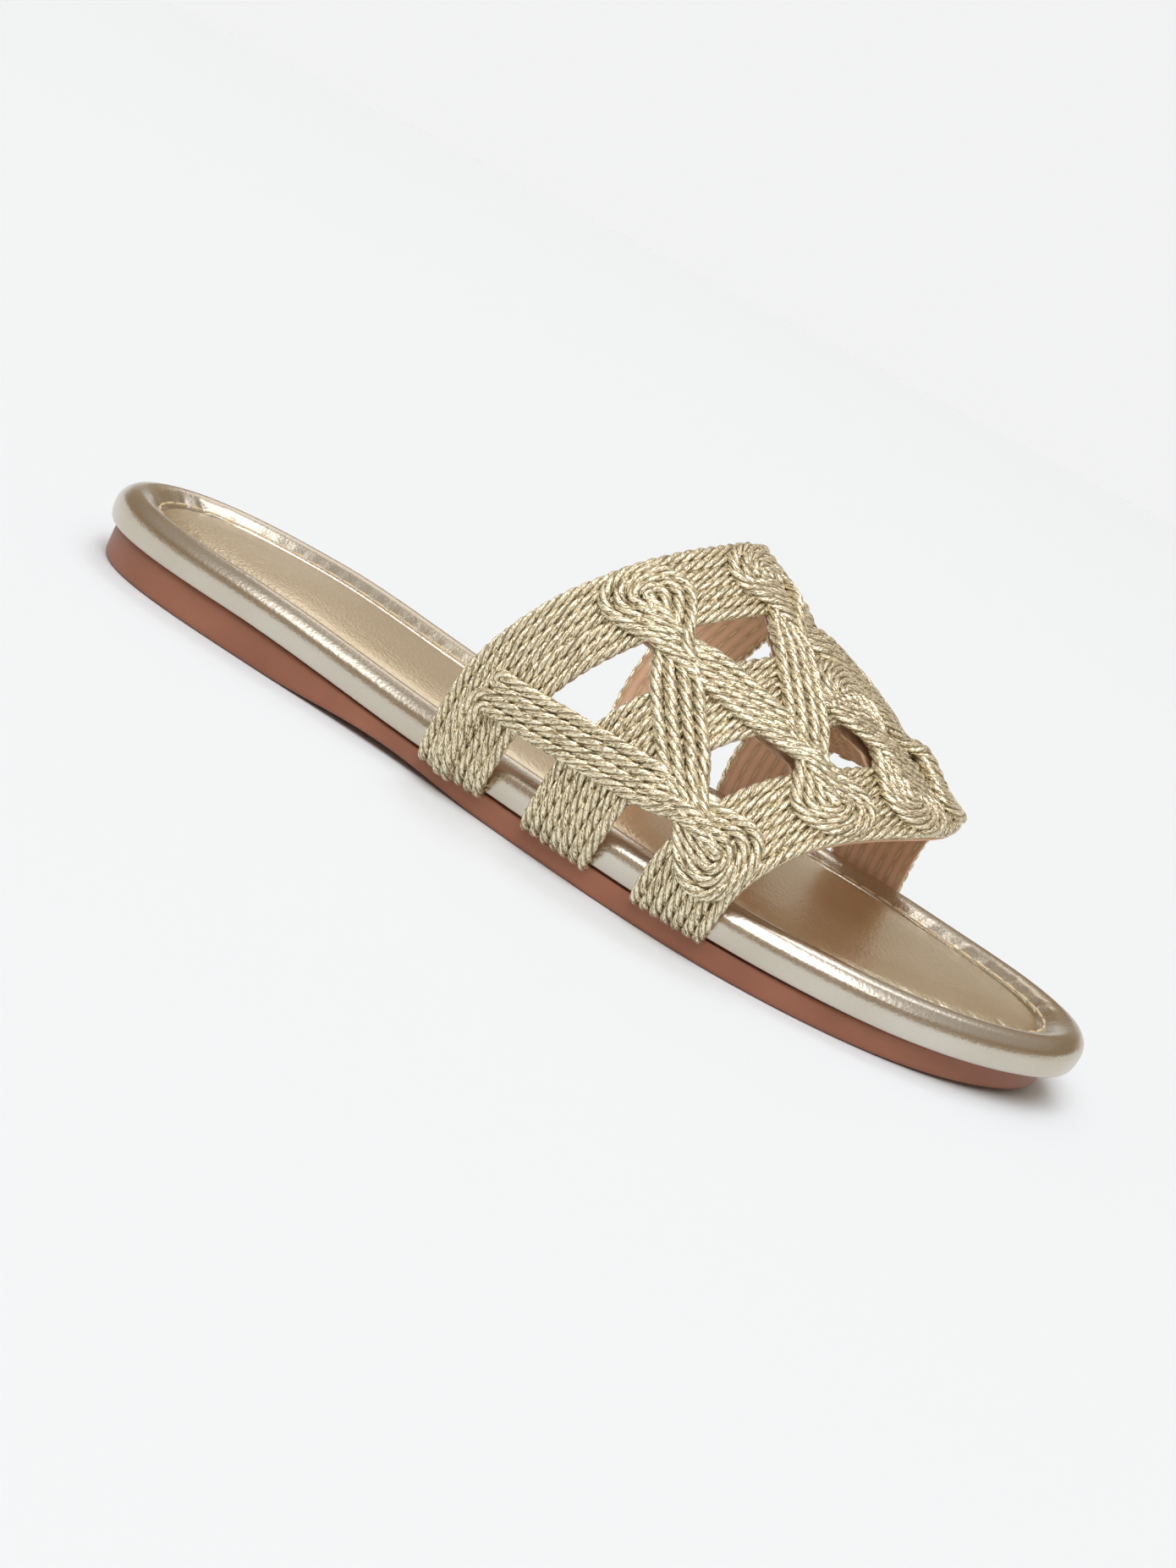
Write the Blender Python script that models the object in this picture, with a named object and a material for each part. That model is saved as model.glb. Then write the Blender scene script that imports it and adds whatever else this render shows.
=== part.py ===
"""Flat slide mule for the right foot: rope bands over a padded, wrapped footbed on a slim outsole.

The toe points along -Y, the medial side is +X and the floor is Z = 0. Stations are millimetres from
the back of the heel towards the toe. Flat pattern places are millimetres too: "across" runs along an
arch of the upper from the lateral (-) to the medial (+) side, "along" from its front edge backwards.
"""
import math
from collections import namedtuple

import bmesh
import bpy
import numpy as np
from mathutils import Vector
from mathutils.geometry import delaunay_2d_cdt

MM = 0.001
PART_NAME = "rope_mule"

# Driving sizes of the foot and the sole
FOOT_LENGTH = 249.0
BALL_WIDTH = 91.4
INSTEP_HEIGHT = 70.6
HEEL_LIFT = 2.5
OUTSOLE_THICK = 5.5
ARCH_RISE = 1.6
TOE_SPRING = 2.4
GAP = 0.3
SIDE_SHIFT = 0.7
STATIONS_PER_SIDE = 34

# Places along the foot, in percent of its length
HEEL_LIFT_SPAN = (18.0, 42.0)
ARCH_SPAN = (23.5, 49.8)
TOE_SPRING_START = 82.0

# Outline of the footbed: station in percent of the length, half widths in percent of the ball width,
# and how far the outsole stands in from it, in millimetres
OutlineRow = namedtuple("OutlineRow", "station medial lateral sole_inset")
OUTLINE = [
    OutlineRow(0.0, 0.0, 0.0, 2.4),
    OutlineRow(2.4, 18.6, 18.6, 2.4),
    OutlineRow(8.8, 30.1, 30.1, 2.4),
    OutlineRow(20.1, 34.5, 35.0, 2.2),
    OutlineRow(37.8, 32.8, 38.8, 1.4),
    OutlineRow(55.4, 40.3, 47.0, 1.2),
    OutlineRow(70.7, 49.7, 50.3, 1.2),
    OutlineRow(83.1, 46.9, 43.5, 2.2),
    OutlineRow(92.5, 37.4, 30.1, 3.8),
    OutlineRow(96.4, 28.4, 20.1, 4.8),
    OutlineRow(98.55, 20.1, 11.7, 5.4),
    OutlineRow(100.0, 4.2, -4.2, 5.6),
]

# Edge sections, in millimetres: inset from the outline and height above the layer's underside
RimRow = namedtuple("RimRow", "inset height")
OUTSOLE_EDGE = [RimRow(0.9, 0.0), RimRow(0.0, 0.9), RimRow(0.0, 4.9), RimRow(0.5, 5.5)]
FOOTBED_RIM = [
    RimRow(3.4, 0.0),
    RimRow(1.4, 1.0),
    RimRow(0.3, 2.6),
    RimRow(0.0, 4.4),
    RimRow(0.6, 6.3),
    RimRow(2.2, 7.9),
    RimRow(4.4, 8.6),
    RimRow(6.8, 8.1),
    RimRow(8.8, 6.9),
    RimRow(10.4, 5.7),
    RimRow(10.4, 3.2),
]
INSOLE_EDGE = [
    RimRow(10.8, 3.5),
    RimRow(10.8, 5.5),
    RimRow(11.8, 6.8),
    RimRow(14.5, 7.5),
    RimRow(21.0, 7.9),
]

# Upper: arches from side to side over the last, one row for each edge of the upper. Stations are in
# percent of the length, the crest's place and the bulges in percent of the ball width, the crest's
# height in percent of the instep height. Lean is the share of the arch over which it sweeps forward.
ArchRow = namedtuple(
    "ArchRow",
    "lateral_station crest_station medial_station crest_x crest_height squareness"
    " lateral_bulge medial_bulge lean",
)
FRONT_EDGE = ArchRow(70.4, 80.9, 78.3, 3.3, 53.8, 2.25, 2.2, 3.8, 0.92)
BACK_EDGE = ArchRow(41.0, 54.0, 47.0, 2.2, 100.0, 2.15, 4.9, 10.9, 0.82)
WALL_LENGTH = 76.0
RIM_MID_HEIGHT = 4.4
RIM_CLEARANCE = 0.9
TUCK_IN = 3.0
TUCK_TURN = math.radians(62.0)
ARCH_SAMPLES = 40
TUCK_SAMPLES = 7

# Ropes: bands of seven, strips of four laid over them, coils where the strips turn
BAND_ROPES = 7
BAND_WIDTH = 18.0
STRIP_ROPES = 4
STRIP_WIDTH = 9.0
BAND_VALLEY = 1.5
BAND_RIDGE = 2.7
STRIP_VALLEY = 3.5
STRIP_RIDGE = 4.5
COIL_DIMPLE = 3.2
END_TAPER_LENGTH = 5.0
END_TAPER = 0.5
BASE_STEPS = (0.0, 2.4, 4.8, 8.0)
BAND_STEP = 5.5
STRIP_STEP = 5.5
COIL_STEP = 3.5
FEWEST_COIL_SIDES = 6
LINING_STEP = 8.0
LINING_CLEARANCE = 1.8
SMALLEST_HOLE = 5.0
SNAP = 0.35
INSIDE_MARGIN = 0.06
CUT_TOLERANCE = 0.002
SLOPE_STEP = 0.002

BandRow = namedtuple("BandRow", "name start")
BANDS = [BandRow("front", 0.0), BandRow("middle", 29.0), BandRow("back", 58.0)]

# Coils in the order in which the strip runs through them: turn is the place across the arch, from
# -1 at the lateral base to +1 at the medial base, shift the distance back from the band's middle
CoilRow = namedtuple("CoilRow", "name band turn shift radius")
ZIGZAG = [
    CoilRow("lateral_back", "back", -0.76, 0.0, 8.2),
    CoilRow("lateral_front", "front", -0.77, 0.0, 8.2),
    CoilRow("outer_back", "back", -0.39, 0.0, 8.2),
    CoilRow("outer_front", "front", -0.43, 0.0, 8.2),
    CoilRow("centre_back", "back", -0.09, 0.0, 8.2),
    CoilRow("inner_front", "front", 0.21, 0.0, 8.2),
    CoilRow("inner_back", "back", 0.32, 0.0, 8.2),
    CoilRow("medial_front", "front", 0.56, 0.0, 8.2),
    CoilRow("medial_back", "back", 0.71, 0.0, 8.2),
]
FIGURE_EIGHT = [
    CoilRow("centre_middle", "middle", -0.10, -3.0, 9.2),
    CoilRow("centre_front", "front", -0.12, 0.0, 9.2),
]

MaterialRow = namedtuple("MaterialRow", "red green blue metallic roughness")
MATERIALS = {
    "outsole": MaterialRow(0.25, 0.085, 0.05, 0.0, 0.45),
    "footbed": MaterialRow(0.62, 0.50, 0.34, 1.0, 0.28),
    "insole": MaterialRow(0.55, 0.42, 0.27, 1.0, 0.3),
    "upper": MaterialRow(0.53, 0.46, 0.31, 0.4, 0.5),
}


def clear_scene():
    """Start from an empty scene."""
    for existing in list(bpy.data.objects):
        bpy.data.objects.remove(existing, do_unlink=True)


def natural_spline(knots, values):
    """Return a smooth function through the values at the knots."""
    x = np.asarray(knots, float)
    y = np.asarray(values, float)
    span = np.diff(x)
    count = len(x)
    matrix = np.eye(count)
    right = np.zeros(count)
    for i in range(1, count - 1):
        matrix[i, i - 1:i + 2] = span[i - 1], 2.0 * (span[i - 1] + span[i]), span[i]
        right[i] = 6.0 * ((y[i + 1] - y[i]) / span[i] - (y[i] - y[i - 1]) / span[i - 1])
    bend = np.linalg.solve(matrix, right)

    def value_at(place):
        i = np.clip(np.searchsorted(x, place) - 1, 0, count - 2)
        ahead = x[i + 1] - place
        behind = place - x[i]
        cubic = (bend[i] * ahead ** 3 + bend[i + 1] * behind ** 3) / (6.0 * span[i])
        low = (y[i] / span[i] - bend[i] * span[i] / 6.0) * ahead
        high = (y[i + 1] / span[i] - bend[i + 1] * span[i] / 6.0) * behind
        return cubic + low + high

    return value_at


def sole_turn(station):
    """Angle round the sole for a station: 0 at the heel, pi at the toe."""
    return np.arccos(np.clip(1.0 - 2.0 * np.asarray(station, float) / FOOT_LENGTH, -1.0, 1.0))


def of_length(percent):
    """Station of a place given in percent of the foot's length."""
    return np.asarray(percent, float) * FOOT_LENGTH / 100.0


def of_ball(percent):
    """Size given in percent of the ball width."""
    return np.asarray(percent, float) * BALL_WIDTH / 100.0


SOLE_TURNS = sole_turn(of_length([row.station for row in OUTLINE]))
MEDIAL_WIDTH = natural_spline(SOLE_TURNS, of_ball([row.medial for row in OUTLINE]))
LATERAL_WIDTH = natural_spline(SOLE_TURNS, of_ball([row.lateral for row in OUTLINE]))


def half_width(station, side):
    """Distance from the centre line to the footbed's edge, side +1 medial and -1 lateral."""
    width = MEDIAL_WIDTH if side > 0 else LATERAL_WIDTH
    return width(sole_turn(station))


def smooth_step(value):
    """Ease from 0 to 1."""
    k = np.clip(value, 0.0, 1.0)
    return k * k * (3.0 - 2.0 * k)


def toe_rise(station):
    """Lift of the whole sole towards the toe."""
    start = of_length(TOE_SPRING_START)
    ahead = np.clip((np.asarray(station) - start) / (FOOT_LENGTH - start), 0.0, 1.0)
    return TOE_SPRING * ahead ** 2


def ground_height(station):
    """Height of the walking face: flat heel and forefoot, raised arch, toe spring."""
    start, end = of_length(ARCH_SPAN)
    inside = np.clip((np.asarray(station) - start) / (end - start), 0.0, 1.0)
    return ARCH_RISE * np.sin(math.pi * inside) ** 2 + toe_rise(station)


def seat_height(station):
    """Height of the outsole's upper face."""
    start, end = of_length(HEEL_LIFT_SPAN)
    heel = 1.0 - smooth_step((np.asarray(station) - start) / (end - start))
    return OUTSOLE_THICK + HEEL_LIFT * heel + toe_rise(station)


def sole_ring(inset):
    """Plan places (x, station) round the sole, moved inwards by an inset for each place."""
    turns = np.linspace(0.0, math.pi, STATIONS_PER_SIDE + 1)
    stations = FOOT_LENGTH / 2.0 * (1.0 - np.cos(turns))
    medial = np.column_stack([MEDIAL_WIDTH(turns), stations])
    lateral = np.column_stack([-LATERAL_WIDTH(turns), stations])[-2:0:-1]
    ring = np.vstack([medial, lateral])
    ahead = np.roll(ring, -1, axis=0) - np.roll(ring, 1, axis=0)
    ahead /= np.linalg.norm(ahead, axis=1)[:, None]
    inwards = np.column_stack([-ahead[:, 1], ahead[:, 0]])
    return ring + inwards * np.reshape(inset, (-1, 1))


def outsole_inset():
    """How far the outsole stands in from the footbed's edge, for each place round the sole."""
    turns = np.linspace(0.0, math.pi, STATIONS_PER_SIDE + 1)
    side = natural_spline(SOLE_TURNS, [row.sole_inset for row in OUTLINE])(turns)
    return np.concatenate([side, side[-2:0:-1]])


def world_point(x, station, height):
    """Place of a point given in the foot's own sizes, with the shoe's box centred on the origin."""
    return Vector(((x + SIDE_SHIFT) * MM, (FOOT_LENGTH / 2.0 - station) * MM, height * MM))


def finish_object(name, mesh, collection):
    """Link a closed mesh under its own name, with outward faces and its own material."""
    model = bmesh.new()
    model.from_mesh(mesh)
    bmesh.ops.recalc_face_normals(model, faces=model.faces[:])
    model.to_mesh(mesh)
    model.free()
    row = MATERIALS[name]
    material = bpy.data.materials.new(name)
    material.use_nodes = True
    shader = material.node_tree.nodes["Principled BSDF"]
    shader.inputs["Base Color"].default_value = (row.red, row.green, row.blue, 1.0)
    shader.inputs["Metallic"].default_value = row.metallic
    shader.inputs["Roughness"].default_value = row.roughness
    mesh.materials.append(material)
    part = bpy.data.objects.new(name, mesh)
    collection.objects.link(part)
    return part


def loft(name, rings, collection):
    """Skin a stack of rings and close the first and the last from side to side."""
    count = len(rings[0])
    points = [world_point(*place) for ring in rings for place in ring]
    faces = []
    for level in range(len(rings) - 1):
        for i in range(count):
            j = (i + 1) % count
            low = level * count
            high = low + count
            faces.append((low + i, low + j, high + j, high + i))
    for first in (0, (len(rings) - 1) * count):
        for i in range(count // 2):
            ring = (i, i + 1, (count - i - 1) % count, (count - i) % count)
            faces.append(tuple(dict.fromkeys(first + place for place in ring)))
    mesh = bpy.data.meshes.new(name)
    mesh.from_pydata(points, [], faces)
    return finish_object(name, mesh, collection)


def build_outsole(collection):
    """Slim outsole with a rounded walking edge, an arch and a toe spring."""
    inset = outsole_inset()
    rings = []
    for row in OUTSOLE_EDGE:
        plan = sole_ring(inset + row.inset)
        share = row.height / OUTSOLE_THICK
        low = ground_height(plan[:, 1])
        high = seat_height(plan[:, 1])
        rings.append(np.column_stack([plan, low + (high - low) * share]))
    return loft("outsole", rings, collection)


def build_on_seat(name, rows, collection):
    """Loft a layer of the footbed from rows of inset and height above the outsole."""
    rings = []
    for row in rows:
        plan = sole_ring(row.inset)
        rings.append(np.column_stack([plan, seat_height(plan[:, 1]) + GAP + row.height]))
    return loft(name, rings, collection)


def arch_row(along):
    """Sizes of the arch at a distance from the upper's front edge, in millimetres."""
    share = along / WALL_LENGTH
    row = ArchRow(*[front + (back - front) * share for front, back in zip(FRONT_EDGE, BACK_EDGE)])
    return row._replace(
        lateral_station=float(of_length(row.lateral_station)),
        crest_station=float(of_length(row.crest_station)),
        medial_station=float(of_length(row.medial_station)),
        crest_x=float(of_ball(row.crest_x)),
        crest_height=row.crest_height * INSTEP_HEIGHT / 100.0,
        lateral_bulge=float(of_ball(row.lateral_bulge)),
        medial_bulge=float(of_ball(row.medial_bulge)),
    )


def arch_profile(along):
    """Inner face of the upper from the lateral to the medial base: places (x, height)."""
    row = arch_row(along)
    sides = []
    for side, station, bulge in (
        (-1, row.lateral_station, row.lateral_bulge),
        (1, row.medial_station, row.medial_bulge),
    ):
        rim = float(seat_height(station)) + GAP + RIM_MID_HEIGHT
        edge = side * (float(half_width(station, side)) + RIM_CLEARANCE)
        turn = np.linspace(TUCK_TURN, 0.0, TUCK_SAMPLES)
        tuck_x = edge - side * TUCK_IN * (1.0 - np.cos(turn))
        tuck_height = rim - RIM_MID_HEIGHT * np.sin(turn)
        turn = np.linspace(0.0, math.pi / 2.0, ARCH_SAMPLES)[1:]
        arch_x = row.crest_x + (edge - row.crest_x) * np.cos(turn) ** (2.0 / row.squareness)
        arch_x = arch_x + side * bulge * np.sin(2.0 * turn)
        arch_height = rim + (row.crest_height - rim) * np.sin(turn) ** (2.0 / row.squareness)
        places = np.column_stack([np.append(tuck_x, arch_x), np.append(tuck_height, arch_height)])
        sides.append(places)
    return np.vstack([sides[0], sides[1][-2::-1]])


def arch_run(along):
    """Inner face of an arch and the distance run at each of its places."""
    profile = arch_profile(along)
    steps = np.linalg.norm(np.diff(profile, axis=0), axis=1)
    return profile, np.append(0.0, np.cumsum(steps))


def half_girth(along):
    """Half the length of the arch from base to base."""
    return arch_run(along)[1][-1] / 2.0


def arch_places(along, step):
    """Distances across an arch, closer together where it bends round the footbed's rim."""
    girth = half_girth(along)
    inner = girth - BASE_STEPS[-1]
    middle = np.linspace(-inner, inner, 1 + round(2.0 * inner / step))[1:-1]
    base = girth - np.array(BASE_STEPS)
    return np.concatenate([-base, middle, base[::-1]])


def form_point(turn, along):
    """Point of the upper's inner face: turn -1 at the lateral base, +1 at the medial base."""
    profile, run = arch_run(along)
    row = arch_row(along)
    place = (turn + 1.0) * run[-1] / 2.0
    x = np.interp(place, run, profile[:, 0])
    height = np.interp(place, run, profile[:, 1])
    lean = math.sin(math.pi / 2.0 * min(abs(turn) / row.lean, 1.0)) ** 2
    skew = (row.medial_station - row.lateral_station) / 2.0
    sweep = (row.medial_station + row.lateral_station) / 2.0 - row.crest_station
    return np.array([x, row.crest_station + skew * turn + sweep * lean, height])


def lasted_point(across, along, thickness):
    """Point of the upper for a place of the flat pattern, raised off the inner face."""
    girth = half_girth(along)
    turn = across / girth
    low = max(turn - SLOPE_STEP, -1.0)
    high = min(turn + SLOPE_STEP, 1.0)
    step = SLOPE_STEP * WALL_LENGTH
    round_arch = form_point(high, along) - form_point(low, along)
    back = form_point(turn, along + step) - form_point(turn, along - step)
    outward = np.cross(back, round_arch)
    outward /= np.linalg.norm(outward)
    from_base = (1.0 - abs(turn)) * girth / END_TAPER_LENGTH
    taper = END_TAPER + (1.0 - END_TAPER) * float(smooth_step(from_base))
    return world_point(*(form_point(turn, along) + outward * thickness * taper))


def rope_offsets(width, ropes):
    """Edges, ridges and valleys across a run of ropes."""
    return np.linspace(-width / 2.0, width / 2.0, 2 * ropes + 1)


def rope_height(offset, width, ropes, valley, ridge):
    """Height of a run of ropes at a distance from its centre line."""
    phase = (offset + width / 2.0) / width * ropes % 1.0
    return valley + (ridge - valley) * (1.0 - abs(2.0 * phase - 1.0))


class Band:
    """Straight run of ropes from base to base."""

    def __init__(self, row):
        self.centre = row.start + BAND_WIDTH / 2.0
        turns = arch_places(self.centre, BAND_STEP) / half_girth(self.centre)
        self.lines = []
        for offset in rope_offsets(BAND_WIDTH, BAND_ROPES):
            along = self.centre + offset
            self.lines.append(np.column_stack([turns * half_girth(along), np.full(len(turns), along)]))
        ends = np.array(self.lines)
        self.lines.extend([ends[:, 0], ends[:, -1]])
        self.outline = np.vstack([ends[0], ends[1:-1, -1], ends[-1][::-1], ends[-2:0:-1, 0]])

    def height(self, place):
        """Height of the band's ropes at a place."""
        return rope_height(place[1] - self.centre, BAND_WIDTH, BAND_ROPES, BAND_VALLEY, BAND_RIDGE)


class Strip:
    """Straight run of ropes that crosses from one coil to another, tangent to both."""

    def __init__(self, start, end, start_radius, end_radius):
        reach = end - start
        distance = np.linalg.norm(reach)
        swing = math.asin((start_radius + end_radius) / distance)
        heading = math.atan2(reach[1], reach[0]) + swing
        self.direction = np.array([math.cos(heading), math.sin(heading)])
        self.side = np.array([-self.direction[1], self.direction[0]])
        self.start = start - self.side * start_radius
        self.length = float(distance * math.cos(swing))
        steps = np.linspace(0.0, self.length, 1 + round(self.length / STRIP_STEP))
        self.lines = []
        for offset in rope_offsets(STRIP_WIDTH, STRIP_ROPES):
            self.lines.append(self.start + np.outer(steps, self.direction) + offset * self.side)
        self.outline = np.vstack([self.lines[0], self.lines[-1][::-1]])

    def height(self, place):
        """Height of the strip's ropes at a place."""
        offset = float((np.asarray(place) - self.start) @ self.side)
        return rope_height(offset, STRIP_WIDTH, STRIP_ROPES, STRIP_VALLEY, STRIP_RIDGE)


class Coil:
    """Rope wound flat in a disc at the turn of a strip."""

    def __init__(self, centre, radius):
        self.centre = centre
        self.radius = radius
        self.pitch = STRIP_WIDTH / STRIP_ROPES
        self.lines = []
        for level in range(int(2.0 * radius / self.pitch)):
            ring = radius - level * self.pitch / 2.0
            count = max(FEWEST_COIL_SIDES, round(2.0 * math.pi * ring / COIL_STEP))
            angles = np.linspace(0.0, 2.0 * math.pi, count + 1)
            self.lines.append(centre + ring * np.column_stack([np.cos(angles), np.sin(angles)]))
        self.outline = self.lines[0][:-1]

    def height(self, place):
        """Height of the coil's ropes at a place."""
        inwards = self.radius - float(np.linalg.norm(np.asarray(place) - self.centre))
        if inwards > self.radius - self.pitch / 2.0:
            return COIL_DIMPLE
        phase = inwards / self.pitch % 1.0
        return STRIP_VALLEY + (STRIP_RIDGE - STRIP_VALLEY) * (1.0 - abs(2.0 * phase - 1.0))


def coil_centre(row):
    """Flat pattern place of a coil's centre."""
    start = next(band.start for band in BANDS if band.name == row.band)
    along = start + BAND_WIDTH / 2.0 + row.shift
    return np.array([row.turn * half_girth(along), along])


def rope_work():
    """All runs of rope, uppermost first: coils, strips, bands."""
    coils = [Coil(coil_centre(row), row.radius) for row in ZIGZAG + FIGURE_EIGHT]
    strips = []
    last = len(ZIGZAG) - 1
    radii = [row.radius - STRIP_WIDTH / 2.0 for row in ZIGZAG]
    radii[0] = 0.0
    radii[last] = 0.0
    for i in range(last):
        way = 1.0 if i % 2 == 0 else -1.0
        ends = (coil_centre(ZIGZAG[i]), coil_centre(ZIGZAG[i + 1]))
        strips.append(Strip(*ends, way * radii[i], way * radii[i + 1]))
    first, second = FIGURE_EIGHT
    radius = first.radius - STRIP_WIDTH / 2.0
    for way in (1.0, -1.0):
        strips.append(Strip(coil_centre(first), coil_centre(second), way * radius, way * radius))
    return coils + strips + [Band(row) for row in BANDS]


def inside_outline(outline, place):
    """Whether a place lies inside a closed outline."""
    ahead = np.roll(outline, -1, axis=0)
    spans = (outline[:, 1] > place[1]) != (ahead[:, 1] > place[1])
    rise = np.where(spans, ahead[:, 1] - outline[:, 1], 1.0)
    crossing = outline[:, 0] + (place[1] - outline[:, 1]) * (ahead[:, 0] - outline[:, 0]) / rise
    return bool(np.sum(spans & (place[0] < crossing)) % 2)


def outline_distance(outline, place):
    """Distance from a place to the nearest edge of a closed outline."""
    ahead = np.roll(outline, -1, axis=0) - outline
    share = np.sum((place - outline) * ahead, axis=1) / np.sum(ahead * ahead, axis=1)
    nearest = outline + np.clip(share, 0.0, 1.0)[:, None] * ahead
    return float(np.min(np.linalg.norm(nearest - place, axis=1)))


def crossings(outline, start, end):
    """Shares of a segment at which it crosses a closed outline."""
    ahead = np.roll(outline, -1, axis=0) - outline
    reach = end - start
    slope = reach[0] * ahead[:, 1] - reach[1] * ahead[:, 0]
    safe = np.where(np.abs(slope) < CUT_TOLERANCE ** 2, np.inf, slope)
    gap = outline - start
    share = (gap[:, 0] * ahead[:, 1] - gap[:, 1] * ahead[:, 0]) / safe
    other = (gap[:, 0] * reach[1] - gap[:, 1] * reach[0]) / safe
    hits = (share > 0.0) & (share < 1.0) & (other >= 0.0) & (other <= 1.0) & np.isfinite(safe)
    return share[hits].tolist()


class PatternNet:
    """Points and lines of the flat pattern, cut where one run of rope lies over another."""

    def __init__(self, runs):
        self.runs = runs
        self.points = []
        self.lines = set()
        for level, run in enumerate(runs):
            for line in run.lines:
                for start, end in zip(line, line[1:]):
                    self.add_segment(start, end, runs[:level])

    def point_index(self, place):
        """Index of a point, shared with any point that is already very near."""
        if self.points:
            distance = np.linalg.norm(np.array(self.points) - place, axis=1)
            nearest = int(np.argmin(distance))
            if distance[nearest] < SNAP:
                return nearest
        self.points.append(np.array(place))
        return len(self.points) - 1

    def add_segment(self, start, end, over):
        """Add what shows of a segment beside the runs that lie over it."""
        cuts = {0.0, 1.0}
        for run in over:
            cuts.update(crossings(run.outline, start, end))
        cuts = sorted(cuts)
        for low, high in zip(cuts, cuts[1:]):
            middle = start + (end - start) * (low + high) / 2.0
            if any(inside_outline(run.outline, middle) for run in over):
                continue
            first = self.point_index(start + (end - start) * low)
            second = self.point_index(start + (end - start) * high)
            if first != second:
                self.lines.add((min(first, second), max(first, second)))

    def height(self, place):
        """Height of the uppermost run at a place, or of a bare edge."""
        for run in self.runs:
            if inside_outline(run.outline, place) and outline_distance(run.outline, place) > INSIDE_MARGIN:
                return run.height(place)
        return BAND_VALLEY

    def covered(self, place):
        """Whether any run of rope covers a place."""
        return any(inside_outline(run.outline, place) for run in self.runs)


def triangulate(points, lines):
    """Triangles of the flat pattern that keep every line as an edge."""
    places = [Vector((float(p[0]), float(p[1]))) for p in points]
    result = delaunay_2d_cdt(places, list(lines), [], 0, CUT_TOLERANCE)
    return np.array([tuple(p) for p in result[0]]), [tuple(face) for face in result[2]]


def triangle_area(points, face):
    """Area of a flat triangle."""
    a, b, c = (points[i] for i in face)
    return abs((b[0] - a[0]) * (c[1] - a[1]) - (b[1] - a[1]) * (c[0] - a[0])) / 2.0


def edge_owners(faces):
    """Faces at each edge."""
    owners = {}
    for index, face in enumerate(faces):
        for i in range(3):
            edge = tuple(sorted((face[i], face[(i + 1) % 3])))
            owners.setdefault(edge, []).append(index)
    return owners


def fill_small_holes(points, faces, kept):
    """Keep the triangles of openings too small to be cut."""
    owners = edge_owners(faces)
    seen = set(kept)
    filled = set()
    for seed in range(len(faces)):
        if seed in seen:
            continue
        group = {seed}
        stack = [seed]
        outside = False
        while stack:
            face = faces[stack.pop()]
            for i in range(3):
                sides = owners[tuple(sorted((face[i], face[(i + 1) % 3])))]
                outside = outside or len(sides) == 1
                for other in sides:
                    if other not in seen and other not in group:
                        group.add(other)
                        stack.append(other)
        seen |= group
        if not outside and sum(triangle_area(points, faces[i]) for i in group) < SMALLEST_HOLE:
            filled |= group
    return filled


def rim_edges(faces):
    """Edges with one face, in that face's own direction."""
    owners = edge_owners(faces)
    rim = []
    for face in faces:
        for i in range(3):
            edge = (face[i], face[(i + 1) % 3])
            if len(owners[tuple(sorted(edge))]) == 1:
                rim.append(edge)
    return rim


def lining_faces(net, points, rim):
    """Coarser triangles of the inner face inside the same rim."""
    used = sorted({i for edge in rim for i in edge})
    rank = {index: place for place, index in enumerate(used)}
    border = np.array([points[i] for i in used])
    inner = []
    for along in np.arange(LINING_STEP / 2.0, WALL_LENGTH, LINING_STEP):
        for across in arch_places(along, LINING_STEP)[1:-1]:
            place = np.array([across, along])
            clear = np.min(np.linalg.norm(border - place, axis=1)) > LINING_CLEARANCE
            if clear and net.covered(place):
                inner.append(place)
    lines = [(rank[a], rank[b]) for a, b in rim]
    flat, faces = triangulate(list(border) + inner, lines)
    starts = np.array([points[a] for a, _ in rim])
    ends = np.array([points[b] for _, b in rim])

    def enclosed(place):
        spans = (starts[:, 1] > place[1]) != (ends[:, 1] > place[1])
        rise = np.where(spans, ends[:, 1] - starts[:, 1], 1.0)
        crossing = starts[:, 0] + (place[1] - starts[:, 1]) * (ends[:, 0] - starts[:, 0]) / rise
        return bool(np.sum(spans & (place[0] < crossing)) % 2)

    kept = [face for face in faces if enclosed(flat[list(face)].mean(axis=0))]
    return flat, kept, rank


def build_upper(collection):
    """Hollow upper: rope work cut flat as one sheet, lasted over the foot, with a lining face inside."""
    net = PatternNet(rope_work())
    points, faces = triangulate(net.points, net.lines)
    kept = {i for i, face in enumerate(faces) if net.covered(points[list(face)].mean(axis=0))}
    kept |= fill_small_holes(points, faces, kept)
    top = [faces[i] for i in sorted(kept)]
    rim = rim_edges(top)
    flat, inner, rank = lining_faces(net, points, rim)
    used = sorted({i for face in top for i in face})
    shift = {index: place for place, index in enumerate(used)}
    vertices = [lasted_point(points[i][0], points[i][1], net.height(points[i])) for i in used]
    base = len(vertices)
    vertices.extend(lasted_point(place[0], place[1], 0.0) for place in flat)
    solid = [tuple(shift[i] for i in face) for face in top]
    solid.extend(tuple(base + i for i in reversed(face)) for face in inner)
    for a, b in rim:
        solid.append((shift[b], shift[a], base + rank[a], base + rank[b]))
    mesh = bpy.data.meshes.new("upper")
    mesh.from_pydata(vertices, [], solid)
    return finish_object("upper", mesh, collection)


def main():
    """Build the four pieces of the mule."""
    clear_scene()
    collection = bpy.data.collections.new(PART_NAME)
    bpy.context.scene.collection.children.link(collection)
    build_outsole(collection)
    build_on_seat("footbed", FOOTBED_RIM, collection)
    build_on_seat("insole", INSOLE_EDGE, collection)
    build_upper(collection)


main()
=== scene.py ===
"""Flat slide mule for the right foot: rope upper, foil-leather footbed and rubber outsole."""

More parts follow.
